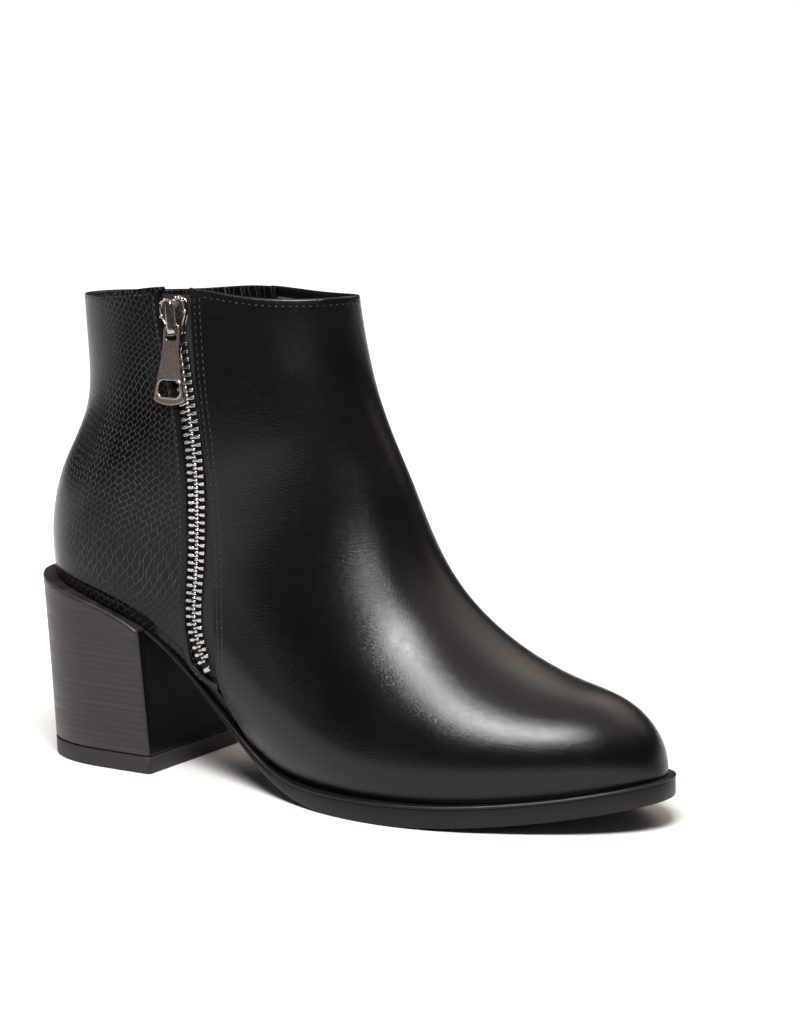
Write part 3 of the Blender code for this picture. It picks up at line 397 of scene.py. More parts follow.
def embossedLeather(name, values):
    made, tree, shader, where = newMaterial(name)
    flat = node(tree, "ShaderNodeUVMap", uv_map="hide").outputs[0]
    drift = vectorMaths(tree, "SUBTRACT", {0: noise(tree, where, 150.0, 2.0, "Color"), 1: (0.5, 0.5, 0.5)})
    drift = vectorMaths(tree, "SCALE", {0: drift, "Scale": values["wobble"]})
    bricks = {"Vector": vectorMaths(tree, "ADD", {0: flat, 1: drift}), "Scale": 1.0, "Bias": 0.0,
              "Mortar Size": values["mortar"], "Mortar Smooth": 0.6, "Brick Width": 1.12, "Row Height": 0.95}
    squares = node(tree, "ShaderNodeTexBrick", bricks, offset=0.5).outputs["Fac"]
    patch, fine = noise(tree, where, 60.0, 3.0), noise(tree, where, 700.0, 3.0)
    shown = maths(tree, "MULTIPLY", squares, spread(tree, patch, 0.36, 0.60, 0.50, 1.0), True)
    setInputs(tree, shader, {"Base Color": blendColour(tree, shown, values["cell"], values["line"]),
                             "Roughness": spread(tree, patch, 0.3, 0.7, *values["roughness"]),
                             "Specular IOR Level": values["gloss"]})
    first = bump(tree, shader, fine, 0.00002)
    bump(tree, shader, maths(tree, "SUBTRACT", 1.0, shown), values["depth"], first)
    return made


vampLeather = smoothLeather("vampLeather", smoothHide)
stripLeather = smoothLeather("stripLeather", {**smoothHide, "roughness": (0.24, 0.30), "gloss": 0.24})
quarterLeather = embossedLeather("quarterLeather", embossedHide)


liningFinish = {"dark": (0.030, 0.028, 0.028), "light": (0.170, 0.158, 0.155), "roughness": 0.50,
                "sheen": (0.35, 0.5)}


def clothLining(name, values):
    # brushed dark lining: short pile, uneven tone
    made, tree, shader, where = newMaterial(name)
    broad, pile = noise(tree, where, 60.0, 4.0), noise(tree, where, 1500.0, 4.0)
    share = spread(tree, maths(tree, "MULTIPLY", broad, pile), 0.12, 0.42, 0.0, 1.0)
    setInputs(tree, shader, {"Base Color": blendColour(tree, share, values["dark"], values["light"]),
                             "Roughness": values["roughness"], "Sheen Weight": values["sheen"][0],
                             "Sheen Roughness": values["sheen"][1]})
    bump(tree, shader, pile, 0.0002, bump(tree, shader, broad, 0.0008))
    return made


liningCloth = clothLining("liningCloth", liningFinish)
seamStitch = {"length": 0.0012, "gap": 0.0011, "width": 0.00044, "sink": 0.00008}
threadFinish = {"dark": (0.004, 0.004, 0.0042), "light": (0.022, 0.021, 0.021), "roughness": 0.38}


def threadMaterial(name, values):
    made, tree, shader, where = newMaterial(name)
    twist = waveBands(tree, where, 900.0, 2.0, "DIAGONAL")
    setInputs(tree, shader, {"Base Color": blendColour(tree, twist, values["dark"], values["light"]),
                             "Roughness": values["roughness"]})
    bump(tree, shader, twist, 0.00008)
    return made


threadBlack = threadMaterial("threadBlack", threadFinish)

# the ring's arc lengths, from which every panel takes its columns
upperRows = {"levels": 150, "rimRadius": 0.00085, "footRadius": 0.0010, "lap": 0.0009, "lapRun": 0.0170,
             "fade": 0.0240, "edgeRoll": 0.00045, "lowest": 0.0015, "highest": 0.9985,
             "tuckIn": 0.0030, "tuckDown": 0.0002}
levelRun = np.linspace(0, 1, upperRows["levels"])
levels = 0.25 * levelRun**2 + 0.75 * levelRun
levels = upperRows["lowest"] + (upperRows["highest"] - upperRows["lowest"]) * levels
turns = np.linspace(-math.pi, math.pi, 1081)   # back ridge at 0, inner side below it
rings = ringPoint(turns[None, :], levels[:, None])
steps = np.linalg.norm(np.diff(rings, axis=1), axis=2)
arcs = np.concatenate([np.zeros((len(levels), 1)), np.cumsum(steps, axis=1)], axis=1)
arcs -= arcs[:, [len(turns) // 2]]   # zero at the back ridge


def arcOfTurn(turn):
    return np.array([np.interp(t, turns, arc) for t, arc in zip(turn, arcs)])


def turnOfArc(wanted):
    # one row of arc lengths per level; past either end it runs on round the front ridge
    out = np.empty_like(wanted)
    for i, arc in enumerate(arcs):
        whole = arc[-1] - arc[0]
        span = np.concatenate([arc[:-1] - whole, arc[:-1], arc + whole])
        angle = np.concatenate([turns[:-1] - 2 * math.pi, turns[:-1], turns + 2 * math.pi])
        out[i] = np.interp(wanted[i], span, angle)
    return out


seamShare = {side: shareAt(slotFrontX, levels, side) for side in (-1, 1)}
slotShare = shareAt(slotEdge(0.0), levels, -1)
outerSeam = arcOfTurn(np.arccos(1 - 2 * seamShare[-1]))
innerSeam = arcOfTurn(-np.arccos(1 - 2 * seamShare[1]))
slotBack = arcOfTurn(np.arccos(1 - 2 * slotShare))
wholeRing = arcs[:, -1] - arcs[:, 0]
edgeColumns = np.array([0, 0.08, 0.16, 0.26, 0.38, 0.52, 0.7, 0.9, 1.1, 1.3, 1.5, 1.7, 1.9, 2.1, 2.35,
                        2.6, 2.9, 3.2, 3.5, 3.8, 4.1, 4.4, 4.8, 5.4, 6.2, 7.2, 8.4]) * 0.001
print("last drawn:", rings.shape)


def rolled(distance, radius):
    # how far a rounded edge lies under the face at a distance from its very edge
    share = np.clip(1 - distance / radius, 0, 1)
    return -radius * (1 - np.sqrt(1 - share**2))


foldAngles = np.radians((22, 45, 67, 90, 120, 150, 180))
folds = len(foldAngles) + 1


def overFolds(rows):
    # the first and last row repeated for the folded rows beyond them
    return np.concatenate([np.repeat(rows[:1], folds, 0), rows, np.repeat(rows[-1:], folds, 0)])


def panelSheet(turn, depth):
    # the panel's grid with its rim folded over at the collar and tucked in at the sole
    level = levels[:, None] + np.zeros_like(turn)
    points, normals = ringPoint(turn, level), ringNormal(turn, level)
    points = points + normals * depth[..., None]
    rows = []
    for end, radius, far in ((0, upperRows["footRadius"], 1), (-1, upperRows["rimRadius"], -2)):
        edge, inner, normal = points[end], points[far], normals[end]
        out = unit(edge - inner)
        fold = []
        for angle in foldAngles:
            fold.append(edge + out * radius * math.sin(angle) - normal * radius * (1 - math.cos(angle)))
        tuck = upperRows["tuckIn"] * (1 if end else 0.1)
        fold.append(fold[-1] - out * tuck - normal * upperRows["tuckDown"])
        rows.append(np.array(fold))
    low, rim = rows
    return np.concatenate([low[::-1], points, rim])



def edgedSheet(turn, depth, drop, bothEdges):
    # the folded sheet with its cut edge turned down, or both of them
    sheet, normals = panelSheet(turn, depth), overFolds(ringNormal(turn, levels[:, None]))
    low, high = (sheet[:, k] - normals[:, k] * drop for k in (slice(0, 1), slice(-1, None)))
    return np.concatenate([low, sheet, high] if bothEdges else [sheet, high], axis=1)


# front panel, smooth leather, in one piece round the instep and the toe
frontPanel = {"middleColumns": 120, "stitchRows": (0.0016, 0.0036), "stitchSink": 0.00012,
              "stitchSoft": 0.00038, "edgeDrop": 0.0011,
              "creases": ((0.700, 0.50, 0.00009, 0.010), (0.665, 0.62, 0.00008, 0.009),
                          (0.735, 0.42, 0.00007, 0.008), (0.600, 0.80, 0.00004, 0.010))}


def frontCreases(points):
    # soft troughs across the instep: x share, height share, depth, breadth
    drop = np.zeros(points.shape[:-1])
    x, z = points[..., 0] / long, points[..., 2] / tall
    for atX, atZ, deep, broad in frontPanel["creases"]:
        across = ((x - atX) * 0.55 + (z - atZ) * 0.85) * tall
        along = ((x - atX) * 0.85 - (z - atZ) * 0.55) * tall
        wave = np.exp(-(across / broad) ** 2) * np.exp(-(along / 0.030) ** 2)
        drop -= deep * wave * np.cos(across / broad * 1.7)
    return drop


span = wholeRing + innerSeam - outerSeam
edges = edgeColumns[None, :]
middle = np.linspace(0, 1, frontPanel["middleColumns"] + 2)[1:-1][None, :]
reach = edgeColumns[-1]
distances = np.concatenate([np.repeat(edges, len(levels), 0), reach + (span[:, None] - 2 * reach) * middle,
                            span[:, None] - edges[:, ::-1]], axis=1)
turn = turnOfArc(outerSeam[:, None] + distances)
nearEdge = np.minimum(distances, span[:, None] - distances)
depth = rolled(nearEdge, upperRows["edgeRoll"])
for row in frontPanel["stitchRows"]:
    depth = depth - frontPanel["stitchSink"] * np.exp(-((nearEdge - row) / frontPanel["stitchSoft"]) ** 2)
depth = depth + frontCreases(ringPoint(turn, levels[:, None]))
sheetRows = edgedSheet(turn, depth, frontPanel["edgeDrop"], True)
vamp = gridMesh("frontPanel", sheetRows, vampLeather)
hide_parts("upper")
print("front panel:", len(vamp.data.polygons), "faces")

# back panel, embossed, from the slot round the heel to the inner seam
backPanel = {"middleColumns": 110, "under": 0.0035, "roll": 0.0005, "edgeDrop": 0.0012}
span = slotBack - innerSeam + backPanel["under"]
slotEdges = edgeColumns[None, ::-1]
middle = np.linspace(0, 1, backPanel["middleColumns"] + 1)[:-1][None, :]
distances = np.concatenate([(span[:, None] - reach) * middle, span[:, None] - slotEdges], axis=1)
arc = innerSeam[:, None] - backPanel["under"] + distances
turn = turnOfArc(arc)
at = ringPoint(turn, levels[:, None])
seamX = slotFrontX(at[..., 2])
depth = -upperRows["lap"] * (1 - ease((seamX - upperRows["lapRun"] - at[..., 0]) / upperRows["fade"]))
depth = depth + rolled(span[:, None] - distances, backPanel["roll"])
sheetRows = edgedSheet(turn, depth, backPanel["edgeDrop"], False)
quarter = gridMesh("backPanel", sheetRows, quarterLeather)

# its grain runs up to the front, a little steeper and larger low on the heel
height, alongArc = (np.concatenate([rows, rows[:, -1:]], axis=1)
                    for rows in (overFolds(at[..., 2]), overFolds(arc)))
alongArc = np.where(alongArc < 0, -alongArc * embossedHide["innerShare"], alongArc)
low = ease((embossedHide["lowFrom"] - height) / embossedHide["lowBreadth"])
tilt = np.radians(embossedHide["tilt"] - embossedHide["lowTilt"] * low)
size = embossedHide["size"] * (1 + embossedHide["lowGrowth"] * low)
middleArc, middleZ = embossedHide["middle"]
u = ((alongArc - middleArc) * np.cos(tilt) + (height - middleZ) * np.sin(tilt)) / size
v = (-(alongArc - middleArc) * np.sin(tilt) + (height - middleZ) * np.cos(tilt)) / size
v = v + 0.9 * np.sin(alongArc * 95) * 0.5 + 0.35 * np.sin(height * 210)
u = u + 0.5 * np.sin(height * 120 + 1.0)
addUv(quarter, "hide", np.stack([u.ravel() + 60, v.ravel() + 60], axis=1))
print("back panel:", len(quarter.data.polygons), "faces")

# lining, from under the folded rim to the insole, with soft wrinkles
lining = {"depth": 0.0021, "rows": 90, "columns": 240, "top": 0.985, "wrinkle": 0.0004}
liningLevel = np.linspace(0.004, lining["top"], lining["rows"])[:, None]
liningTurn = np.linspace(0, 2 * math.pi, lining["columns"], endpoint=False)[None, :]
points = ringPoint(liningTurn, liningLevel)
normals = ringNormal(liningTurn, liningLevel)
waves = np.sin(liningTurn * 5 + 9 * liningLevel) * np.sin(liningLevel * 34 + 1.7 * np.sin(liningTurn * 3))
waves = waves * lining["wrinkle"] * ease((liningLevel - 0.4) / 0.4)
points = points - normals * (lining["depth"] + np.abs(waves))[..., None]
cloth = gridMesh("liningCloth", points, liningCloth, wrap=True)
print("lining:", len(cloth.data.polygons), "faces")


def sweptBand(name, centres, ups, outs, width, thick, material, sides=12, taper=None):
    # a flat band with round edges, swept along a path
    rows = []
    for i, (centre, up, out) in enumerate(zip(centres, ups, outs)):
        across = unit(np.cross(up, out))
        wide = width * (taper[i] if taper is not None else 1)
        ring = []
        for k in range(sides):
            angle = 2 * math.pi * (k + 0.5) / sides
            c, s = math.cos(angle), math.sin(angle)
            c = math.copysign(abs(c) ** 0.45, c)
            s = math.copysign(abs(s) ** 0.75, s)
            ring.append(centre + across * c * wide / 2 + out * s * thick / 2)
        rows.append(ring)
    faces = gridFaces(len(rows), sides, wrap=True) + endCaps(len(rows), sides)
    return makeMesh(name, np.concatenate(rows), faces, material, keepSharp=60)


def pathFrames(path, side, depth):
    # points on the skin under a line of the side view, with its run and its normal
    points = skin(path[:, 0], path[:, 1], side)
    outs = skinNormal(path[:, 0], path[:, 1], side)
    points = points + outs * depth
    return points, unit(np.gradient(points, axis=0)), outs


def evenPath(path, step):
    run = runLength(path)
    wanted = np.arange(0, run[-1], step)
    return np.stack([np.interp(wanted, run, path[:, k]) for k in range(path.shape[1])], axis=-1)


# strip of folded leather along the slot's back edge and round its foot
zipStrip = {"width": 0.0031, "thick": 0.0008, "depth": -0.00022, "inset": 0.0015, "top": 0.9975,
            "stitchInset": 0.0021}
run = np.linspace(0, 1, 26)[1:]
bend = foot - zipStrip["inset"] + (last["slotRound"] + zipStrip["inset"]) * (1 - np.sin(np.pi / 2 * run))
z = np.concatenate([np.linspace(tall * zipStrip["top"], foot + last["slotRound"], 80), bend])
path = np.stack([slotEdge(zipStrip["inset"])(z), z], axis=-1)
zRun = z
stripPath = evenPath(path, 0.0009)
centres, ups, outs = pathFrames(stripPath, -1, zipStrip["depth"])
strip = sweptBand("zipStrip", centres, ups, outs, zipStrip["width"], zipStrip["thick"], stripLeather)
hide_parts("zip_binding")
print("zip strip:", len(strip.data.polygons), "faces")


def stitchRow(centres, outs, values):
    # points and faces of short rounded stitches along a line
    run = runLength(centres)
    pitch = values["length"] + values["gap"]
    count = int(run[-1] // pitch)
    points, faces = [], []
    sides = 6
    profile = ((-1.0, 0.25, -0.9), (-0.82, 0.75, -0.35), (-0.35, 1.0, 0.1), (0.35, 1.0, 0.1),
               (0.82, 0.75, -0.35), (1.0, 0.25, -0.9))
    for n in range(count):
        start = n * pitch + values["gap"] / 2
        ends = [start, start + values["length"]]
        a, b = (np.array([np.interp(e, run, centres[:, k]) for k in range(3)]) for e in ends)
        out = np.array([np.interp(start, run, outs[:, k]) for k in range(3)])
        middle, along = (a + b) / 2, (b - a) / 2
        across = unit(np.cross(along, out))
        first = len(points)
        for at, fat, lift in profile:
            for k in range(sides):
                angle = 2 * math.pi * k / sides
                outward = across * math.cos(angle) + out * math.sin(angle)
                points.append(middle + along * at + out * (lift * 0.00018 - values["sink"])
                              + outward * fat * values["width"] / 2)
        faces += gridFaces(len(profile), sides, wrap=True, start=first)
        faces += endCaps(len(profile), sides, first)
    return points, faces


def stitchPiece(name, lines, values, material):
    made = makeMesh(name, *gather(stitchRow(centres, outs, values) for centres, outs in lines), material)
    return made


stitchLines = {"top": 0.995, "foot": 0.016, "overSole": 0.004, "depth": -0.00002, "collarLevel": 0.9900,
               "behindSlot": 0.0035, "aheadOfSlot": 0.0045, "step": 0.0008}
seamLines = []
for side in (-1, 1):
    for row in frontPanel["stitchRows"]:
        z = np.linspace(tall * stitchLines["top"], stitchLines["foot"], 300)
        path = np.stack([slotFrontX(z), z], axis=-1)
        ahead = unit(np.gradient(path, axis=0))
        path = path + np.stack([-ahead[:, 1], ahead[:, 0]], axis=-1) * row
        path = path[path[:, 1] > bottom(path[:, 0]) + stitchLines["overSole"]]
        centres, ups, outs = pathFrames(evenPath(path, stitchLines["step"]), side, stitchLines["depth"])
        seamLines.append((centres, outs))
rimTurn = np.linspace(0, 2 * math.pi, 700)
level = np.full(len(rimTurn), stitchLines["collarLevel"])
centres, outs = ringPoint(rimTurn, level), ringNormal(rimTurn, level)
seam = slotFrontX(centres[:, 2])
behind = centres[:, 0] < seam
drop = -upperRows["lap"] * (1 - ease((seam - upperRows["lapRun"] - centres[:, 0]) / upperRows["fade"]))
centres = centres + outs * np.where(behind, drop, stitchLines["depth"])[:, None]
outer = rimTurn < math.pi
inSlot = outer & (centres[:, 0] > slotBackX(centres[:, 2]) - stitchLines["behindSlot"])
inSlot = inSlot & (centres[:, 0] < seam + stitchLines["aheadOfSlot"])
cut = np.flatnonzero(inSlot)
seamLines.append((centres[cut[-1] + 1:], outs[cut[-1] + 1:]))
seamLines.append((centres[:cut[0]], outs[:cut[0]]))
stripRow = np.stack([slotEdge(zipStrip["stitchInset"])(zRun), zRun], axis=-1)
stripRow = evenPath(stripRow, stitchLines["step"])
centres, ups, outs = pathFrames(stripRow, -1, zipStrip["depth"] + zipStrip["thick"] / 2)
seamLines.append((centres, outs))
seamStitches = stitchPiece("seamStitches", seamLines, seamStitch, threadBlack)
print("stitches:", len(seamStitches.data.polygons), "faces")

# zip: woven tape, metal teeth, slider, bridge and pull tab
zipTape = {"lap": 0.0055, "depth": -0.0017, "behind": -0.0023, "columns": 24, "rows": 150,
           "dark": (0.002, 0.002, 0.0022), "light": (0.012, 0.0115, 0.012), "thread": 0.00045}


def wovenTape(name, values):
    made, tree, shader, _ = newMaterial(name)
    flat = node(tree, "ShaderNodeUVMap", uv_map="weave").outputs[0]
    both = maths(tree, "MULTIPLY", *(waveBands(tree, flat, 0.5, 0.6, bands) for bands in ("X", "DIAGONAL")))
    setInputs(tree, shader, {"Base Color": blendColour(tree, both, values["dark"], values["light"]),
                             "Roughness": 0.8})
    bump(tree, shader, both, 0.00018)
    return made


tapeCloth = wovenTape("tapeCloth", zipTape)
z = np.linspace(tall * 1.0, foot - 0.012, zipTape["rows"])
backX, frontX = slotEdge(0.0)(z) - zipTape["lap"], slotFrontX(z) + zipTape["lap"]
share = np.linspace(0, 1, zipTape["columns"])[None, :]
x = backX[:, None] + (frontX - backX)[:, None] * share
zz = z[:, None] + 0 * x
inSlot = np.minimum(x - slotEdge(0.0)(zz), slotFrontX(zz) - x)
depth = zipTape["behind"] + (zipTape["depth"] - zipTape["behind"]) * ease((inSlot + 0.0004) / 0.0012)
points = skin(x, zz) + skinNormal(x, zz) * depth[..., None]
tape = gridMesh("zipTape", points, tapeCloth)
addUv(tape, "weave", np.stack([(x / zipTape["thread"]).ravel(), (zz / zipTape["thread"]).ravel()], axis=1))
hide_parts("zip_tape")
print("zip tape:", len(tape.data.polygons), "faces")

metals = {"teeth": {"dark": (0.40, 0.39, 0.38), "light": (0.64, 0.63, 0.615), "roughness": (0.14, 0.26)},
          "pull": {"dark": (0.28, 0.215, 0.182), "light": (0.36, 0.292, 0.255), "roughness": (0.18, 0.30)},
          "slider": {"dark": (0.40, 0.365, 0.34), "light": (0.56, 0.52, 0.49), "roughness": (0.10, 0.20)}}


metal = {"cloud": (260.0, 5.0), "fleck": (1800.0, 2.0), "range": (0.3, 0.75), "depth": 0.000005,
         "inputs": {"Metallic": 1.0}}


def speckledFinish(name, values):
    made, tree, shader, where = newMaterial(name)
    cloud, fleck = noise(tree, where, *values["cloud"]), noise(tree, where, *values["fleck"])
    setInputs(tree, shader, {"Base Color": blendColour(tree, cloud, values["dark"], values["light"]),
                             "Roughness": spread(tree, fleck, *values["range"], *values["roughness"]),
                             **values["inputs"]})
    bump(tree, shader, fleck, values["depth"])
    return made


teethMetal, pullMetal, sliderMetal = (speckledFinish(name + "Metal", {**metal, **metals[name]})
                                      for name in ("teeth", "pull", "slider"))

zipTeeth = {"width": 0.0064, "pitch": 0.0026, "height": 0.00120, "proud": 0.0001, "floor": -0.0016,
            "meet": 0.0008, "dimple": 0.00028, "round": 0.0003, "topZ": 0.1504, "footZ": 0.0425}


def zipRun(z):
    step = 0.0005
    run = np.array([float(teethX(z + step) - teethX(z - step)), 2 * step])
    return float(teethX(z)), unit(run)


def zipFrame(z, upright=False):
    # a place on the skin at the teeth's middle: point, across, out of the leather, up
    x, run = zipRun(z)
    out = skinNormal(x, z)
    up = np.array([0, 0, 1.0]) if upright else np.array([run[0], 0, run[1]])
    up = unit(up - out * up.dot(out))
    return skin(x, z), np.cross(up, out), out, up


def toothPoints(z, hand):
    # a clamp block with a dimple in its face, a neck, and a head that reaches past the middle
    origin, across, out, up = zipFrame(z)
    half, meet, tallest = zipTeeth["width"] / 2, zipTeeth["meet"], zipTeeth["height"] / 2
    stations = ((-half, 0.70, 0.45), (-half + 0.00018, 0.94, 0.12), (-half + 0.0004, 1.0, 0.0),
                (-half + 0.0008, 1.0, 0.0), (-half + 0.0012, 1.0, 0.0), (-half + 0.0016, 0.98, 0.0),
                (-half + 0.0019, 0.86, 0.10), (-0.0010, 0.58, 0.25), (-0.0007, 0.56, 0.25),
                (-0.0004, 0.80, 0.10), (0.0, 0.92, 0.0), (meet * 0.5, 0.84, 0.08),
                (meet * 0.85, 0.6, 0.3), (meet, 0.35, 0.6))
    acrossFace = (-1.0, -1.0, -0.86, -0.55, 0.0, 0.55, 0.86, 1.0, 1.0)
    points = []
    for at, tallness, drop in stations:
        for k, v in enumerate(acrossFace):
            edge = max(0.0, abs(v) - 0.55) / 0.45
            top = zipTeeth["proud"] - drop * 0.0008 - zipTeeth["round"] * edge ** 2
            inBlock = max(0.0, 1 - ((at + half - 0.0010) / 0.00075) ** 2) * max(0.0, 1 - (v / 0.75) ** 2)
            top -= zipTeeth["dimple"] * inBlock ** 0.6
            depth = zipTeeth["floor"] if k in (0, len(acrossFace) - 1) else top
            points.append(origin + across * hand * at + up * v * tallest * tallness + out * depth)
    count = len(acrossFace)
    faces = gridFaces(len(stations), count) + endCaps(len(stations), count)
    return points, faces if hand > 0 else [face[::-1] for face in faces]


def allTeeth():
    z, hand = zipTeeth["topZ"], 1
    while z > zipTeeth["footZ"]:
        yield toothPoints(z, hand)
        z -= zipTeeth["pitch"] / 2 * zipRun(z)[1][1]
        hand = -hand


teeth = makeMesh("zipTeeth", *gather(allTeeth()), teethMetal, keepSharp=60)
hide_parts("zip_teeth")
print("zip teeth:", len(teeth.data.polygons), "faces")


def flatPlate(name, loops, thick, bevel, material, body, origin, across, out, up, lift=0.0):
    # a bevelled plate cut to outlines given across and up, standing a lift out of its origin
    curve = bpy.data.curves.new(name, "CURVE")
    curve.dimensions = "2D"
    curve.fill_mode = "BOTH"
    for loop in loops:
        spline = curve.splines.new("POLY")
        spline.points.add(len(loop) - 1)
        for point, (a, b) in zip(spline.points, loop):
            point.co = (a, b, 0, 1)
        spline.use_cyclic_u = True
    curve.extrude = thick / 2 - bevel
    curve.bevel_depth = bevel
    curve.bevel_resolution = 2
    curve.offset = -bevel
    holder = bpy.data.objects.new(name + "Curve", curve)
    addToScene(holder)
    bpy.context.view_layer.update()
    mesh = bpy.data.meshes.new_from_object(holder.evaluated_get(bpy.context.evaluated_depsgraph_get()))
    bpy.data.objects.remove(holder)
    bpy.data.curves.remove(curve)
    mesh.name = name
    turn = Matrix((tuple(across), tuple(up), tuple(out))).transposed().to_4x4()
    turn.translation = Vector(origin + out * lift + place)
    mesh.transform(turn)
    mesh.materials.clear()
    mesh.materials.append(material)
    mesh.shade_smooth()
    mesh.set_sharp_from_angle(angle=math.radians(32))
    made = bpy.data.objects.new(name, mesh)
    addToScene(made)
    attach(made, body)
    return made


def roundedLoop(corners, radii):
    # corners of an outline, each rounded by five points that start its radius away
    loop = []
    count = len(corners)
    for i in range(count):
        a, b, c = (np.array(corners[(i + k) % count], float) for k in (-1, 0, 1))
        radius = min(radii[i], np.linalg.norm(a - b) * 0.48, np.linalg.norm(c - b) * 0.48)
        start = b + (a - b) / np.linalg.norm(a - b) * radius
        end = b + (c - b) / np.linalg.norm(c - b) * radius
        for t in np.linspace(0, 1, 5):
            loop.append(tuple((1 - t) ** 2 * start + 2 * t * (1 - t) * b + t * t * end))
    return loop


zipSlider = {"z": 0.1587, "width": 0.0100, "length": 0.0130, "rise": 0.0014, "plate": 0.0010,
             "bridgeWidth": 0.0027, "bridgeGap": 0.0021, "bridgeStrap": 0.0009, "span": 0.0118,
             "drop": 0.0005, "rimWidth": 0.0008, "bevel": 0.00035, "edge": 0.0003, "backThick": 0.0008,
             "backDepth": -0.0012}
origin, across, out, up = zipFrame(zipSlider["z"])
half, end = zipSlider["width"] / 2, zipSlider["length"] / 2


def sliderLoop(inset):
    h, e = half - inset, end - inset
    corners = [(-h * 0.60, -e), (h * 0.60, -e), (h * 0.66, -e * 0.45), (h * 0.98, -e * 0.02),
               (h * 1.0, e * 0.62), (h * 0.80, e * 0.96), (h * 0.36, e * 1.0), (0.0, e * 0.80),
               (-h * 0.36, e * 1.0),
               (-h * 0.80, e * 0.96), (-h * 1.0, e * 0.62), (-h * 0.98, -e * 0.02), (-h * 0.66, -e * 0.45)]
    return roundedLoop(corners, [0.0008, 0.0008, 0.0022, 0.0016, 0.0012, 0.0012, 0.001, 0.001, 0.001, 0.0012,
                                 0.0012, 0.0016, 0.0022])


plate, seat = zipSlider["plate"], (origin, across, out, up)
slider = flatPlate("zipSlider", [sliderLoop(0.0)], plate, zipSlider["bevel"], sliderMetal, "boot", *seat,
                   zipSlider["rise"] - plate / 2 - zipSlider["edge"])
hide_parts("zip_slider")
under = flatPlate("zipSliderBack", [sliderLoop(0.0002)], zipSlider["backThick"], zipSlider["edge"],
                  sliderMetal, "boot", *seat, zipSlider["backDepth"])
rimLoops = [sliderLoop(0.0), sliderLoop(zipSlider["rimWidth"])]
rimPlate = flatPlate("zipSliderRim", rimLoops, plate * 0.9, zipSlider["edge"], sliderMetal, "boot", *seat,
                     zipSlider["rise"] - plate * 0.45)


def rivet(centre, outward, radius, tall):
    # a low dome with a short wall
    side = unit(np.cross(outward, (0.3, 0.2, 0.9)))
    other = np.cross(outward, side)
    points = []
    for wide, high in ((1.0, 0.0), (1.0, 0.45), (0.86, 0.78), (0.55, 0.95), (0.2, 1.0)):
        for k in range(14):
            angle = 2 * math.pi * k / 14
            points.append(centre + (side * math.cos(angle) + other * math.sin(angle)) * radius * wide
                          + outward * tall * high)
    faces = gridFaces(5, 14, wrap=True)
    faces.append(tuple(4 * 14 + k for k in range(14)))
    return points, faces


# the bumps along its crown and the knobs at its widest place
crownPlaces = ((-0.88, 0.84, 0.0006), (-0.58, 0.97, 0.00055), (0.38, 0.97, 0.0006), (0.64, 0.96, 0.0007),
               (0.88, 0.80, 0.0006), (-1.0, 0.10, 0.00065), (1.0, 0.16, 0.0007))
foremost = origin + out * (zipSlider["rise"] - 0.0003)
bumps = [rivet(foremost + across * half * a * 0.93 + up * end * b * 0.95, out, radius, 0.0008)
         for a, b, radius in crownPlaces]
crown = makeMesh("zipSliderCrown", *gather(bumps), sliderMetal)

face, gap, strap = zipSlider["rise"], zipSlider["bridgeGap"], zipSlider["bridgeStrap"]
top = zipSlider["span"] / 2 - zipSlider["drop"]
low = -zipSlider["span"] / 2 - zipSlider["drop"]
bridgeLine = smoothCurve(np.linspace(0, 1, 9), np.array([
    (face - 0.0006, top - 0.0006), (face + gap * 0.50, top - 0.0004),
    (face + gap + strap * 0.20, top - 0.0012), (face + gap + strap * 0.50, top - 0.0034),
    (face + gap + strap * 0.55, (top + low) / 2),
    (face + gap + strap * 0.50, low + 0.0026), (face + gap + strap * 0.20, low + 0.0009),
    (face + gap * 0.45, low + 0.0005), (face - 0.0006, low + 0.0006)]))(np.linspace(0, 1, 70))
centres = origin + bridgeLine[:, :1] * out + bridgeLine[:, 1:] * up
ahead = unit(np.gradient(centres, axis=0))
outs = np.cross(ahead, np.broadcast_to(across, ahead.shape))
widths = 0.80 + 0.30 * ease(np.linspace(-0.1, 1.1, 70))
bridge = sweptBand("zipBridge", centres, ahead, outs, zipSlider["bridgeWidth"], strap, sliderMetal, sides=16,
                   taper=widths)

zipPull = {"length": 0.0262, "lean": 2.5, "top": 0.0064, "foot": 0.0122, "shoulder": 0.0075, "thick": 0.0012,
           "bar": 0.0006, "eyeWidth": 0.0041, "eyeLength": 0.0042, "play": 0.0007, "holeWidth": 0.0084,
           "holeLength": 0.0056, "holeEdge": 0.0024, "bevel": 0.00030}
bridgeLeg = 0.0014 + 0.0003
hinge = origin + out * (face + gap / 2) + up * (low + bridgeLeg + zipPull["play"] + zipPull["bar"])
_, tabAcross, tabOut, tabUp = zipFrame(zipSlider["z"] - zipPull["length"] / 2, upright=True)
lean = math.radians(zipPull["lean"])
c, s = math.cos(lean), math.sin(lean)
tabOut, tabUp = tabOut * c - tabUp * s, tabUp * c + tabOut * s
t, f, n, bar = zipPull["top"] / 2, zipPull["foot"] / 2, zipPull["length"], zipPull["bar"]
tab = roundedLoop([(-t * 0.8, bar), (t * 0.8, bar), (t, -bar), (t, -zipPull["shoulder"]), (f, -n + 0.0012),
                   (f * 0.72, -n + 0.0003), (0.0, -n - 0.0006), (-f * 0.72, -n + 0.0003), (-f, -n + 0.0012),
                   (-t, -zipPull["shoulder"]), (-t, -bar)],
                  [0.0005, 0.0005, 0.001, 0.006, 0.0009, 0.0009, 0.004, 0.0009, 0.0009, 0.006, 0.001])
e, d = zipPull["eyeWidth"] / 2, zipPull["eyeLength"]
eye = roundedLoop([(-e, -bar), (-e, -bar - d), (e, -bar - d), (e, -bar)], [0.0004, 0.001, 0.001, 0.0004])
w, h = zipPull["holeWidth"] / 2, zipPull["holeLength"] / 2
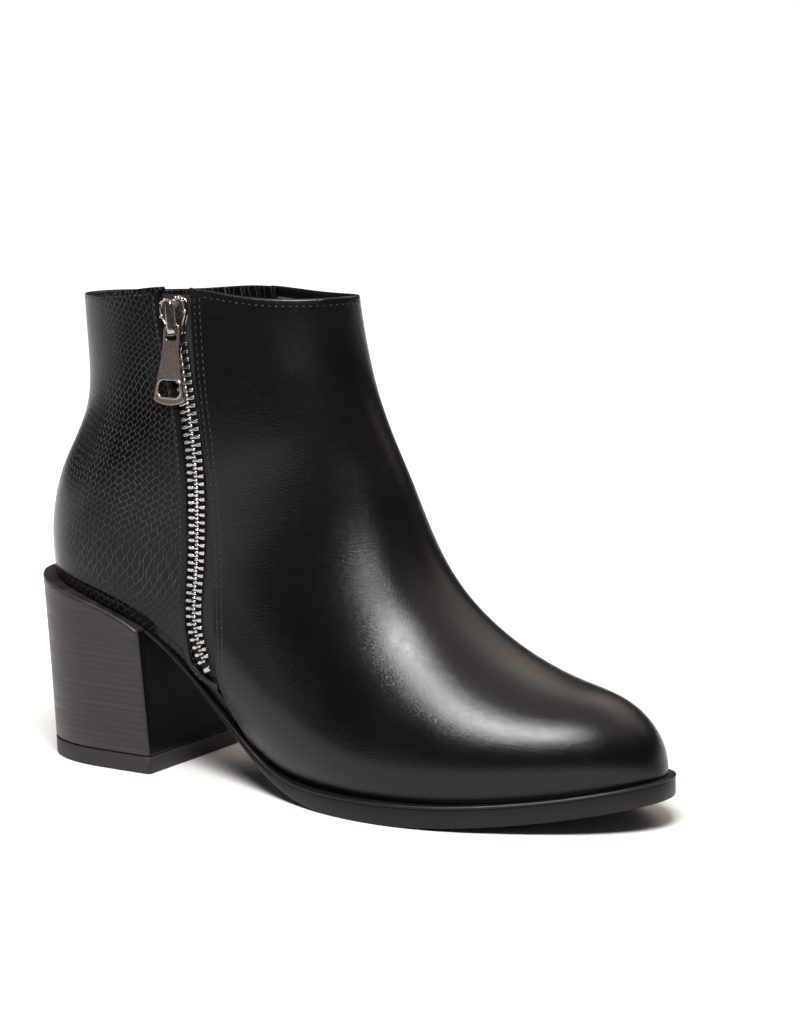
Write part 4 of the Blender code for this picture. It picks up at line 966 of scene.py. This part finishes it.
mid, cut = zipPull["holeEdge"] + h - n, 0.0012


def holeLoop(grow):
    a, b, c = w + grow, h + grow, cut + grow * 0.4
    corners = [(-a + c, mid - b), (-a, mid - b + c), (-a, mid + b - c), (-a + c, mid + b),
               (a - c, mid + b), (a, mid + b - c), (a, mid - b + c), (a - c, mid - b)]
    return roundedLoop(corners, [0.0007] * 8)


seat = (hinge, tabAcross, tabOut, tabUp)
pull = flatPlate("zipPull", [tab, eye, holeLoop(0.0)], zipPull["thick"], zipPull["bevel"], pullMetal,
                 "pull_tab", *seat)
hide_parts("zip_pull")
# the hole's raised rim is real, but its lighter slider metal is painted highlight for the light its bevel
# catches
rim = flatPlate("zipPullRimHighlight", [holeLoop(0.0007), holeLoop(0.0)], zipPull["thick"] + 0.0003, 0.00022,
                sliderMetal, "pull_tab", *seat)

zipStop = {"below": 0.0024, "width": 0.0036, "height": 0.0018, "thick": 0.0016, "bevel": 0.0004,
           "depth": -0.0006}
a, b = zipStop["width"] / 2, zipStop["height"] / 2
stopLoop = roundedLoop([(-a, -b), (a, -b), (a, b), (-a, b)], [zipStop["bevel"]] * 4)
stop = flatPlate("zipStop", [stopLoop], zipStop["thick"], zipStop["bevel"], teethMetal, "boot",
                 *zipFrame(zipTeeth["footZ"] - zipStop["below"]), zipStop["depth"])
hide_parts("zip_stop")
print("zip slider, bridge and pull made")

# heel in stacked layers, and its tread
heel = {"backTop": -0.0030, "backFloor": 0.0012, "breastTop": 0.0513, "breastFloor": 0.0544,
        "halfTop": 0.0318, "halfFloor": 0.0287, "tip": 0.0060, "planReach": 0.0340, "planRound": 2.3,
        "corner": 0.0016, "gap": 0.0003, "seatGap": 0.0005, "round": 0.0006}


def heelPlan(share, inset=0.0):
    back = heel["backFloor"] + (heel["backTop"] - heel["backFloor"]) * share**1.15 + inset
    breast = heel["breastFloor"] + (heel["breastTop"] - heel["breastFloor"]) * share - inset
    half = heel["halfFloor"] + (heel["halfTop"] - heel["halfFloor"]) * share**1.3 - inset
    corner = heel["corner"]
    run = np.linspace(0, 1, 50)
    x = back + heel["planReach"] * (1 - np.cos(np.pi / 2 * run)) ** 0.95
    x = np.concatenate([x, np.linspace(x[-1], breast - corner, 10)[1:]])
    y = half * roundCap((x - back) / heel["planReach"], heel["planRound"])
    turn = np.radians((22, 45, 67, 90))
    x = np.concatenate([x, breast - corner + corner * np.sin(turn), np.full(9, breast)])
    flat = (half - corner) * np.linspace(1, 0, 11)[1:-1]
    y = np.concatenate([y, half - corner + corner * np.cos(turn), flat])
    return np.concatenate([np.column_stack([x, -y]), [[breast, 0.0]], np.column_stack([x, y])[:0:-1]])


def ringStack(rings):
    size = len(rings[0])
    points = np.concatenate(rings)
    return points, gridFaces(len(rings), size, wrap=True) + endCaps(len(rings), size)


def flatRings(rings, cells):
    # rings closed below and above by the same cells
    size = len(rings[0])
    faces = gridFaces(len(rings), size, wrap=True)
    for cell in cells:
        faces += [cell[::-1], tuple((len(rings) - 1) * size + i for i in cell)]
    return np.concatenate(rings), faces


heelFinish = {"layer": 0.0011, "dark": (0.0110, 0.0092, 0.0090), "light": (0.0250, 0.0215, 0.0212),
              "line": (0.0035, 0.003, 0.003), "roughness": (0.34, 0.48), "gloss": 0.46}


def stackedLeather(name, values):
    # thin level layers with streaks along them
    made, tree, shader, where = newMaterial(name)
    streaks, bands = (noise(tree, vectorMaths(tree, "MULTIPLY", {0: where, 1: scale}), 1.0, detail)
                      for scale, detail in (((22.0, 22.0, 900.0), 4.0), ((9.0, 9.0, 260.0), 2.0)))
    lines = node(tree, "ShaderNodeTexWave", {"Vector": where, "Scale": 0.314 / values["layer"] / 2,
                                             "Distortion": 0.35, "Detail": 2.0, "Detail Scale": 0.6},
                 bands_direction="Z", wave_profile="SIN").outputs["Fac"]
    seam = spread(tree, lines, 0.0, 0.16, 1.0, 0.0)
    tone = maths(tree, "ADD", maths(tree, "MULTIPLY", streaks, 0.6), maths(tree, "MULTIPLY", bands, 0.5))
    body = blendColour(tree, spread(tree, tone, 0.35, 0.75, 0.0, 1.0), values["dark"], values["light"])
    faded = maths(tree, "MULTIPLY", seam, spread(tree, bands, 0.35, 0.65, 0.15, 0.7), True)
    setInputs(tree, shader, {"Base Color": blendColour(tree, faded, body, values["line"]),
                             "Roughness": spread(tree, streaks, 0.3, 0.7, *values["roughness"]),
                             "Specular IOR Level": values["gloss"]})
    first = bump(tree, shader, streaks, 0.00005)
    bump(tree, shader, maths(tree, "SUBTRACT", 1.0, faded), 0.00006, first)
    return made


heelLeather = stackedLeather("heelLeather", heelFinish)
whole, base = seatZ - heel["seatGap"], heel["tip"] + heel["gap"]
rings = []
wall = [(share, 0.0, 0.0) for share in (0.010, 0.12, 0.25, 0.4, 0.55, 0.7, 0.82, 0.9, 0.96)]
for share, inset, drop in ((0.0, 0.0006, 0.0), (0.003, 0.0002, 0.0), *wall, (1.0, 0.0, 0.0012),
                           (1.0, 0.0002, 0.0004), (1.0, 0.0007, 0.0), (1.0, 0.0014, 0.0)):
    plan = heelPlan((base + (whole - base) * share) / whole, inset)
    seat = bottom(np.clip(plan[:, 0], 0, long)) - heel["seatGap"]
    rings.append(np.column_stack([plan, base + share * (seat - base) - drop]))
block = makeMesh("heelBlock", *ringStack(rings), heelLeather, keepSharp=40)
# its flat front is given plain black leather, darker and duller than the stacked layers: painted shade
# standing in for the shade on this face
breastPaintedShade = smoothLeather("breastPaintedShade", {**smoothHide, "roughness": (0.45, 0.55), "gloss": 0.07})
block.data.materials.append(breastPaintedShade)
for face in block.data.polygons:
    face.material_index = 1 if face.normal.x > 0.9 else 0
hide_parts("heel_block")


rubbers = {"tread": {"dark": (0.022, 0.0200, 0.0200), "light": (0.034, 0.0315, 0.0315),
                     "roughness": (0.5, 0.62), "depth": 0.00006},
           "sole": {"dark": (0.0040, 0.0036, 0.0037), "light": (0.0066, 0.0060, 0.0061),
                    "roughness": (0.36, 0.46), "depth": 0.00003}}
rubber = {"cloud": (120.0, 5.0), "fleck": (1400.0, 3.0), "range": (0.3, 0.7),
          "inputs": {"Specular IOR Level": 0.28}}
treadRubber, soleRubber = (speckledFinish(name + "Rubber", {**rubber, **rubbers[name]})
                           for name in ("tread", "sole"))
rings = []
for z, inset in ((0.0, 0.0007), (0.0002, 0.0002), (0.0007, 0.0), (heel["tip"] - 0.0004, 0.0),
                 (heel["tip"] - 0.0001, 0.00015), (heel["tip"], 0.0005)):
    plan = heelPlan(z / whole, inset)
    rings.append(np.column_stack([plan, np.full(len(plan), z)]))
tread = makeMesh("heelTread", *ringStack(rings), treadRubber, keepSharp=40)
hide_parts("heel_tip")
print("heel:", len(block.data.polygons) + len(tread.data.polygons), "faces")


def footStations(count):
    # from heel to toe, closer together at both ends
    run = np.linspace(0, 1, count)
    return long * (0.16 * run + 0.84 * (1 - np.cos(np.pi * run)) / 2)


# outsole, with a thin raised line at its top edge and a chamfer at the ground
outsole = {"stations": 200, "chamfer": 0.0006, "gap": 0.0003, "lipHeight": 0.0011, "lipDepth": 0.0003}
stationX = footStations(outsole["stations"])
start = heel["breastTop"] + outsole["gap"]
soleX = np.concatenate([[start], stationX[stationX > start + 0.0015]])


def planLines(x, spreadBy):
    lines = []
    for side in (-1, 1):
        points = skin(x, bottom(x), side)[:, :2]
        points[-1, 1] = centreY(long)
        ahead = np.gradient(points, axis=0)
        out = unit(np.stack([-ahead[:, 1], ahead[:, 0]], axis=-1) * side)
        out[-1] = (1, 0)
        if x[0] == 0:
            points[0, 1], out[0] = centreY(0.0), (-1, 0)
        lines.append(points + out * spreadBy(x, side)[:, None])
    return np.concatenate([lines[0], lines[1][-2::-1]])


def soleRing(inset, share, shift):
    ring = planLines(soleX, lambda x, side: (weltOuter(x) if side < 0 else weltInner(x)) - inset)
    ring[[0, -1], 0] = start
    x = np.clip(ring[:, 0], 0, long)
    thick = soleThick(x)
    thin = np.clip(thick / 0.004, 0.25, 1)
    slope = (tipZ - bottom(long - 0.004)) / 0.004
    topZ = bottom(x) + slope * np.maximum(ring[:, 0] - long, 0) - outsole["gap"]
    lowZ = np.maximum(topZ - thick, 0.0)
    return np.column_stack([ring, topZ + (lowZ - topZ) * share + shift * thin])


c, lip = outsole["chamfer"], outsole["lipHeight"]
rings = [soleRing(*values) for values in (
    (0.0040, 1, 0.0), (c, 1, 0.0), (c * 0.35, 1, c * 0.25), (0.0, 1, c), (0.0001, 0.5, 0.0),
    (0.0002, 0, -lip * 1.5), (outsole["lipDepth"], 0, -lip * 1.15), (0.0, 0, -lip * 0.9),
    (0.0, 0, -lip * 0.4), (0.0003, 0, -0.0001), (0.0008, 0, 0.0), (0.0045, 0, 0.0))]
count, lastPoint = len(soleX), len(rings[0]) - 1
cells = [(i, i + 1, lastPoint - i - 1, lastPoint - i) for i in range(count - 2)]
cells.append((count - 2, count - 1, count))
sole = makeMesh("outsoleEdge", *flatRings(rings, cells), soleRubber, keepSharp=35)
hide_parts("outsole")
print("outsole:", len(sole.data.polygons), "faces")

# sock lining on the insole
sock = {"inset": 0.0034, "thick": 0.0018, "stations": 120}
sockX = footStations(sock["stations"])
rings = []
for inset, rise in ((sock["inset"], 0.0), (sock["inset"], sock["thick"] - 0.0004),
                    (sock["inset"] + 0.0004, sock["thick"]), (sock["inset"] + 0.004, sock["thick"])):
    ring = planLines(sockX, lambda x, side: np.full(len(x), -inset))[:-1]
    rings.append(np.column_stack([ring, bottom(np.clip(ring[:, 0], 0, long)) + rise]))
size, count = len(rings[0]), sock["stations"]
cells = [(0, 1, size - 1)] + [(i, i + 1, size - i - 1, size - i) for i in range(1, count - 2)]
cells.append((count - 2, count - 1, count))
sockLeather = smoothLeather("sockLeather", {**smoothHide, "dark": (0.020, 0.019, 0.019),
                                            "light": (0.032, 0.030, 0.030),
                                            "roughness": (0.62, 0.75), "gloss": 0.2})
sockPiece = makeMesh("sockLining", *flatRings(rings, cells), sockLeather, keepSharp=40)
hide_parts("insole")
print("sock lining:", len(sockPiece.data.polygons), "faces")

# floor, light and camera
studio = {"floor": (0.74, 0.735, 0.73), "sky": 1.05, "shade": 0.06, "reach": 60.0, "glow": (0.02, 0.50),
          "floorZ": -0.0001, "aim": (0.02, 0.0, 0.05), "away": (-0.5, 0.866, 0.0), "farGlow": (1.4, 2.6),
          "camera": (0.4828, -0.8017, 0.2389), "azimuth": 29.96, "down": 8.7, "roll": 0.6, "focal": 2809.0,
          "frameHeight": 1013.0, "sensor": 36.0, "nearest": 0.01,
          # name, direction round the boot, height angle, distance, size, power, colour
          "lights": (("frontSoftbox", -67, 56, 1.25, (0.54, 0.38), 26.5, (1.0, 0.985, 0.97)),
                     ("overheadSheet", 60, 84, 1.60, (2.60, 2.60), 20.0, (1.0, 0.90, 0.83)),
                     ("rearSoftbox", 78, 42, 1.40, (1.20, 0.80), 3.5, (1.0, 0.84, 0.72)),
                     ("heelSide", -158, 12, 1.30, (0.35, 0.80), 0.35, (1.0, 0.98, 0.97)))}


def paleFloor(name):
    made, tree, shader, where = newMaterial(name)
    cloud, base = noise(tree, where, 3.0, 2.0), studio["floor"]
    # behind the boot the paper is lit from below, so that it meets the sky without a line
    away = vectorMaths(tree, "DOT_PRODUCT", {0: where, 1: studio["away"]}, "Value")
    glow = spread(tree, away, *studio["glow"], 0.0, studio["sky"], interpolation_type="SMOOTHSTEP")
    out = vectorMaths(tree, "LENGTH", {0: where}, "Value")
    glow = maths(tree, "MAXIMUM", glow, spread(tree, out, *studio["farGlow"], 0.0, studio["sky"]))
    setInputs(tree, shader, {"Base Color": blendColour(tree, cloud, [v * 0.99 for v in base], base),
                             "Roughness": 0.7, "Specular IOR Level": 0.1, "Emission Strength": glow,
                             "Emission Color": (1, 1, 1, 1)})
    return made


mesh = bpy.data.meshes.new("floor")
far = studio["reach"]
corners = [(x * far, y * far, studio["floorZ"]) for x, y in ((-1, -1), (1, -1), (1, 1), (-1, 1))]
mesh.from_pydata(corners, [], [(0, 1, 2, 3)])
mesh.materials.append(paleFloor("floorPaper"))
floor = bpy.data.objects.new("floor", mesh)
addToScene(floor)

world = bpy.data.worlds.new("studio")
bpy.context.scene.world = world
world.use_nodes = True
tree = world.node_tree
background = tree.nodes["Background"]
background.inputs["Color"].default_value = (1.0, 1.0, 1.0, 1)
seen = node(tree, "ShaderNodeLightPath").outputs["Is Camera Ray"]
tree.links.new(spread(tree, seen, 0.0, 1.0, studio["shade"], studio["sky"]), background.inputs["Strength"])

for name, turned, raised, far, size, power, colour in studio["lights"]:
    lamp = bpy.data.lights.new(name, "AREA")
    lamp.shape = "RECTANGLE"
    lamp.size, lamp.size_y = size
    lamp.energy = power
    lamp.color = colour
    holder = bpy.data.objects.new(name, lamp)
    turned, raised = math.radians(turned), math.radians(raised)
    level = math.cos(raised)
    toLight = Vector((math.cos(turned) * level, math.sin(turned) * level, math.sin(raised)))
    holder.location = Vector(studio["aim"]) + toLight * far
    holder.rotation_euler = toLight.to_track_quat("Z", "Y").to_euler()
    addToScene(holder)
bpy.context.scene.view_settings.view_transform = "Standard"

azimuth, down = math.radians(studio["azimuth"]), math.radians(studio["down"])
back = Vector((math.sin(azimuth) * math.cos(down), -math.cos(azimuth) * math.cos(down), math.sin(down)))
right = (-back).cross(Vector((0, 0, 1))).normalized()
upward = right.cross(-back)
roll = math.radians(studio["roll"])
cameraRight = right * math.cos(roll) + upward * math.sin(roll)
cameraUp = upward * math.cos(roll) - right * math.sin(roll)
camera = bpy.data.objects.new("camera", bpy.data.cameras.new("camera"))
camera.matrix_world = Matrix((cameraRight, cameraUp, back)).transposed().to_4x4()
camera.location = studio["camera"]
camera.data.sensor_width = studio["sensor"]
camera.data.lens = studio["focal"] / studio["frameHeight"] * studio["sensor"]
camera.data.clip_start = studio["nearest"]
addToScene(camera)
bpy.context.scene.camera = camera
